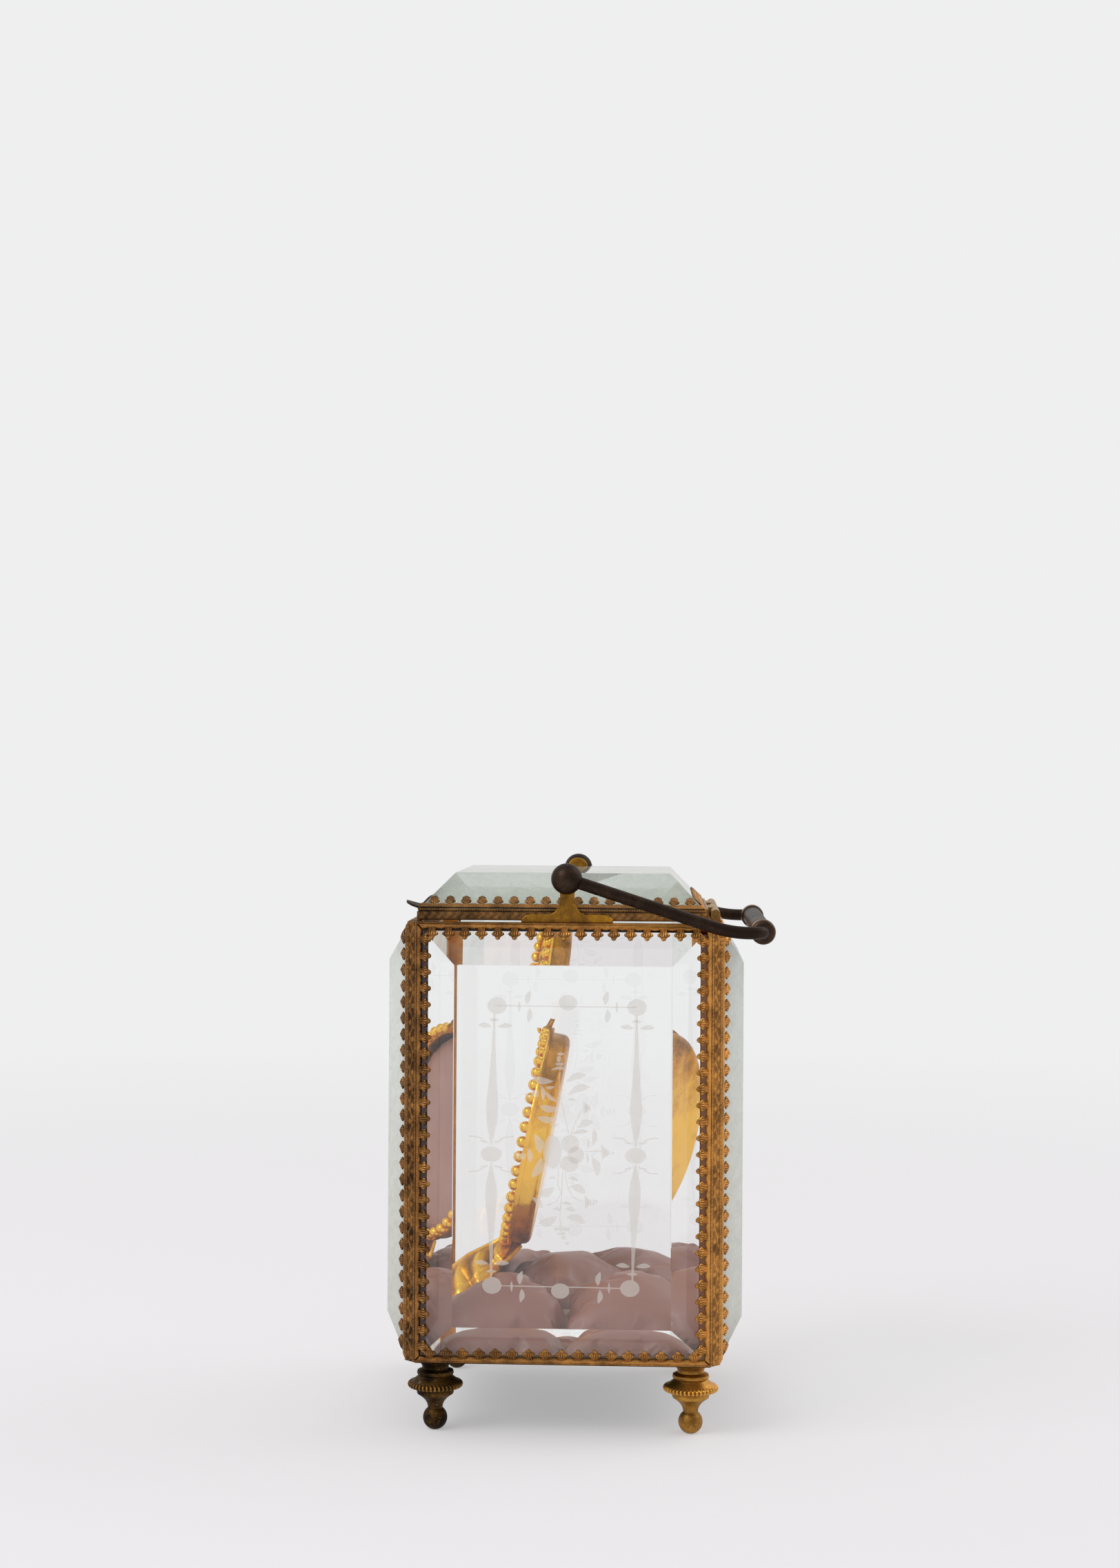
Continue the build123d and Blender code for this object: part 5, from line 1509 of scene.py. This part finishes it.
# One column: a disc at each end, leaves beside it, lancets to the oval in the middle, and a leaf and a curl
# in each of the oval's four corners
def columnCuts(top, middle, low):
    cuts = []
    for (x, level), inward in ((top, -1), (low, 1)):
        axis = (x + middle[0]) / 2
        cuts.append(ovalCut((x, level), *engraving["endDisc"]))
        cuts.append(lancet((axis, level + inward * 1.5), (middle[0], middle[1] - inward * 1.7)))
        lift = level + inward * 4.2
        cuts.append(leafCut((axis - 0.5, lift), (axis - 3.3, lift + 0.3), 0.95, 0.55, bow=-0.06))
        cuts.append(leafCut((axis + 0.6, lift), (axis + 3.6, lift + 0.2), 0.95, 0.55, bow=0.06))
        lift = level + inward * 2.8
        cuts.append(leafCut((axis - 1.1, lift), (axis + 1.1, lift), 0.6))
    x, level = middle
    cuts.append(ovalCut(middle, *engraving["middleOval"]))
    for upward in (-1, 1):
        for hand in (-1, 1):
            root, tip = (x + hand * 0.4, level + upward * 2.3), (x + hand * 2.4, level + upward * 2.7)
            curl = [(x + hand * 1.6, level + upward * 2.9), (x + hand * 2.8, level + upward * 3.4),
                    (x + hand * 4.4, level + upward * 3.5)]
            cuts.append(leafCut(root, tip, 0.45))
            cuts.append(lineCut(curl, engraving["curlWidth"]))
    return cuts


# One rail: a line between two columns' discs, an oval in its middle, and three leaves each side of the oval
def railCuts(middle, left, right):
    cuts = [ovalCut(middle, *engraving["railOval"]), lineCut([left, right], engraving["railWidth"])]
    height = (left[1] + right[1]) / 2
    for hand in (-1, 1):
        at = middle[0] + hand * engraving["sprayPlace"]
        cuts.append(leafCut((at - 0.3, height + 0.3), (at + 0.2, height + 3.1), 1.15, 0.5, bow=0.08))
        cuts.append(leafCut((at + 0.1, height - 0.4), (at - 0.2, height - 3.2), 1.1, 0.5, bow=0.08))
        cuts.append(leafCut((at + hand * 1.9, height - 1.2), (at + hand * 1.9, height + 1.1), 0.5))
    return cuts


# The whole pattern in (across, up), for a panel seen from outside
def panelPattern():
    cuts = bouquet()
    for column in engraving["columns"]:
        cuts += columnCuts(*column)
    leftColumn, rightColumn = engraving["columns"]
    for middle, end in zip(engraving["railMiddles"], (0, 2)):
        cuts += railCuts(middle, leftColumn[end], rightColumn[end])
    return joined(cuts)


pattern = panelPattern()
outside = glassHigh[0] + engraving["stand"]
for side in ("right", "left"):
    shape = placed(pattern, (outside, 0, 0), np.eye(3))
    shape = placed(shape, (0, 0, 0), sideAxes(side))
    addPiece("wheel_cut_pattern_" + side, shape, "case", wheelCut[side], smooth=False)
print("pattern made")

# CAD nodes that keep their shape and get the finish of the real part

kept = {
    "base_plate": plateMetal,
    "cushion_board": card,
    "pivot_pins": bracketGilt,
    "hinge_leaf_case": hingeBrass,
    "hinge_leaf_lid": hingeBrass,
    "hinge_pin": hingeBrass,
}
for node, material in kept.items():
    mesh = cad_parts[node].data
    mesh.materials.clear()
    mesh.materials.append(material)

# Floor, light and camera

# Lengths in metres here; a lamp is its place, its size and its power in watts
studio = {
    "floor": "#E7E4E7",
    "background": "#EFEFF0",
    "room": "#F4F3F2",
    "roomBehind": 0.85,
    "roomBeforeCamera": 0.5,
    "shadowLift": 0.42,
    "fadeStart": 0.16,
    "fadeEnd": 0.75,
    "floorHalf": 3.0,
    "aim": (0, 0, 0.05),
    "lamps": {"key": ((0.55, -0.75, 0.95), 0.7, 6.6), "fill": ((-0.3, 0.9, 0.9), 0.8, 3.3)},
}


# The larger of several yes-or-no outputs of a light path node: 1 where one of them is
def anyRay(tree, ray, names):
    seen = ray.outputs[names[0]]
    for name in names[1:]:
        seen = addNode(tree, "ShaderNodeMath", {0: seen, 1: ray.outputs[name]},
                       operation="MAXIMUM").outputs[0]
    return seen


# A pale paper sweep: it keeps the object's shadow near the feet and fades to the plain background further
# off, for the camera and for what is mirrored or seen through glass
def sweepPaper():
    material, tree = newMaterial("paper_sweep")
    place = addNode(tree, "ShaderNodeTexCoord").outputs["Object"]
    away = addNode(tree, "ShaderNodeVectorMath", {0: place}, operation="LENGTH").outputs["Value"]
    fade = addNode(tree, "ShaderNodeMapRange", {
        "Value": away, "From Min": studio["fadeStart"], "From Max": studio["fadeEnd"],
        "To Min": studio["shadowLift"],
    }, interpolation_type="SMOOTHSTEP").outputs[0]
    ray = addNode(tree, "ShaderNodeLightPath")
    seen = anyRay(tree, ray, ["Is Camera Ray", "Is Glossy Ray", "Is Transmission Ray"])
    factor = addNode(tree, "ShaderNodeMath", {0: seen, 1: fade}, operation="MULTIPLY").outputs[0]
    matt = addNode(tree, "ShaderNodeBsdfDiffuse", {"Color": colour(studio["floor"])})
    plain = addNode(tree, "ShaderNodeEmission", {"Color": colour(studio["background"]), "Strength": 1.0})
    mix = addNode(tree, "ShaderNodeMixShader", {"Fac": factor, 1: matt.outputs[0], 2: plain.outputs[0]})
    addNode(tree, "ShaderNodeOutputMaterial", {"Surface": mix.outputs[0]})
    return material


def paperFloor():
    half = studio["floorHalf"]
    mesh = bpy.data.meshes.new("paper_floor")
    outline = [(-half, -half, 0), (half, -half, 0), (half, half, 0), (-half, half, 0)]
    mesh.from_pydata(outline, [], [(0, 1, 2, 3)])
    mesh.materials.append(sweepPaper())
    floor = bpy.data.objects.new("paper_floor", mesh)
    bpy.context.scene.collection.objects.link(floor)


# The room: plain background to the camera and through glass, and otherwise soft white walls that grow darker
# towards the camera's side
def room():
    world = bpy.data.worlds.new("studio")
    bpy.context.scene.world = world
    world.use_nodes = True
    tree = world.node_tree
    tree.nodes.clear()
    ray = addNode(tree, "ShaderNodeLightPath")
    seen = anyRay(tree, ray, ["Is Camera Ray", "Is Transmission Ray"])
    way = addNode(tree, "ShaderNodeTexCoord").outputs["Generated"]
    parts = addNode(tree, "ShaderNodeSeparateXYZ", {"Vector": way})
    level = addNode(tree, "ShaderNodeMapRange", {
        "Value": parts.outputs["X"], "From Min": -0.2, "From Max": 0.9, "To Min": studio["roomBehind"],
        "To Max": studio["roomBeforeCamera"],
    }, interpolation_type="SMOOTHSTEP").outputs[0]
    walls = addNode(tree, "ShaderNodeBackground", {"Color": colour(studio["room"]), "Strength": level})
    plain = addNode(tree, "ShaderNodeBackground", {"Color": colour(studio["background"]), "Strength": 1.0})
    mix = addNode(tree, "ShaderNodeMixShader", {"Fac": seen, 1: walls.outputs[0], 2: plain.outputs[0]})
    addNode(tree, "ShaderNodeOutputWorld", {"Surface": mix.outputs[0]})


# A soft square lamp that faces the object
def softLamp(name, place, size, power):
    data = bpy.data.lights.new(name, "AREA")
    data.energy = power
    data.size = size
    lamp = bpy.data.objects.new(name, data)
    lamp.location = place
    lamp.rotation_mode = "QUATERNION"
    lamp.rotation_quaternion = (Vector(studio["aim"]) - Vector(place)).to_track_quat("-Z", "Y")
    bpy.context.scene.collection.objects.link(lamp)


# The photograph's camera: level, facing the right side but turned a little towards the front and rolled by
# the photograph's own lean. Its focal length is given in pixels of the picture, whose height counts as a
# film's 36 mm; lengths in millimetres, turns in degrees
view = {
    "focalPixels": 3504,
    "pictureHeight": 2274,
    "film": 36,
    "distance": 511.5,
    "beside": 19.37,
    "height": 130.07,
    "turn": 2.435,
    "roll": -0.35,
}


def photoCamera():
    data = bpy.data.cameras.new("camera")
    data.lens = view["focalPixels"] * view["film"] / view["pictureHeight"]
    data.sensor_width = view["film"]
    data.clip_start, data.clip_end = 0.01, 20
    camera = bpy.data.objects.new("camera", data)
    camera.location = (np.array([view["distance"], view["beside"], view["height"]]) + caseMiddle) * mm
    camera.rotation_euler = (math.radians(90), math.radians(view["roll"]), math.radians(90 + view["turn"]))
    bpy.context.scene.collection.objects.link(camera)
    bpy.context.scene.camera = camera


paperFloor()
room()
for name, lamp in studio["lamps"].items():
    softLamp(name, *lamp)
photoCamera()
bpy.context.scene.view_settings.view_transform = "Standard"
print("studio made")
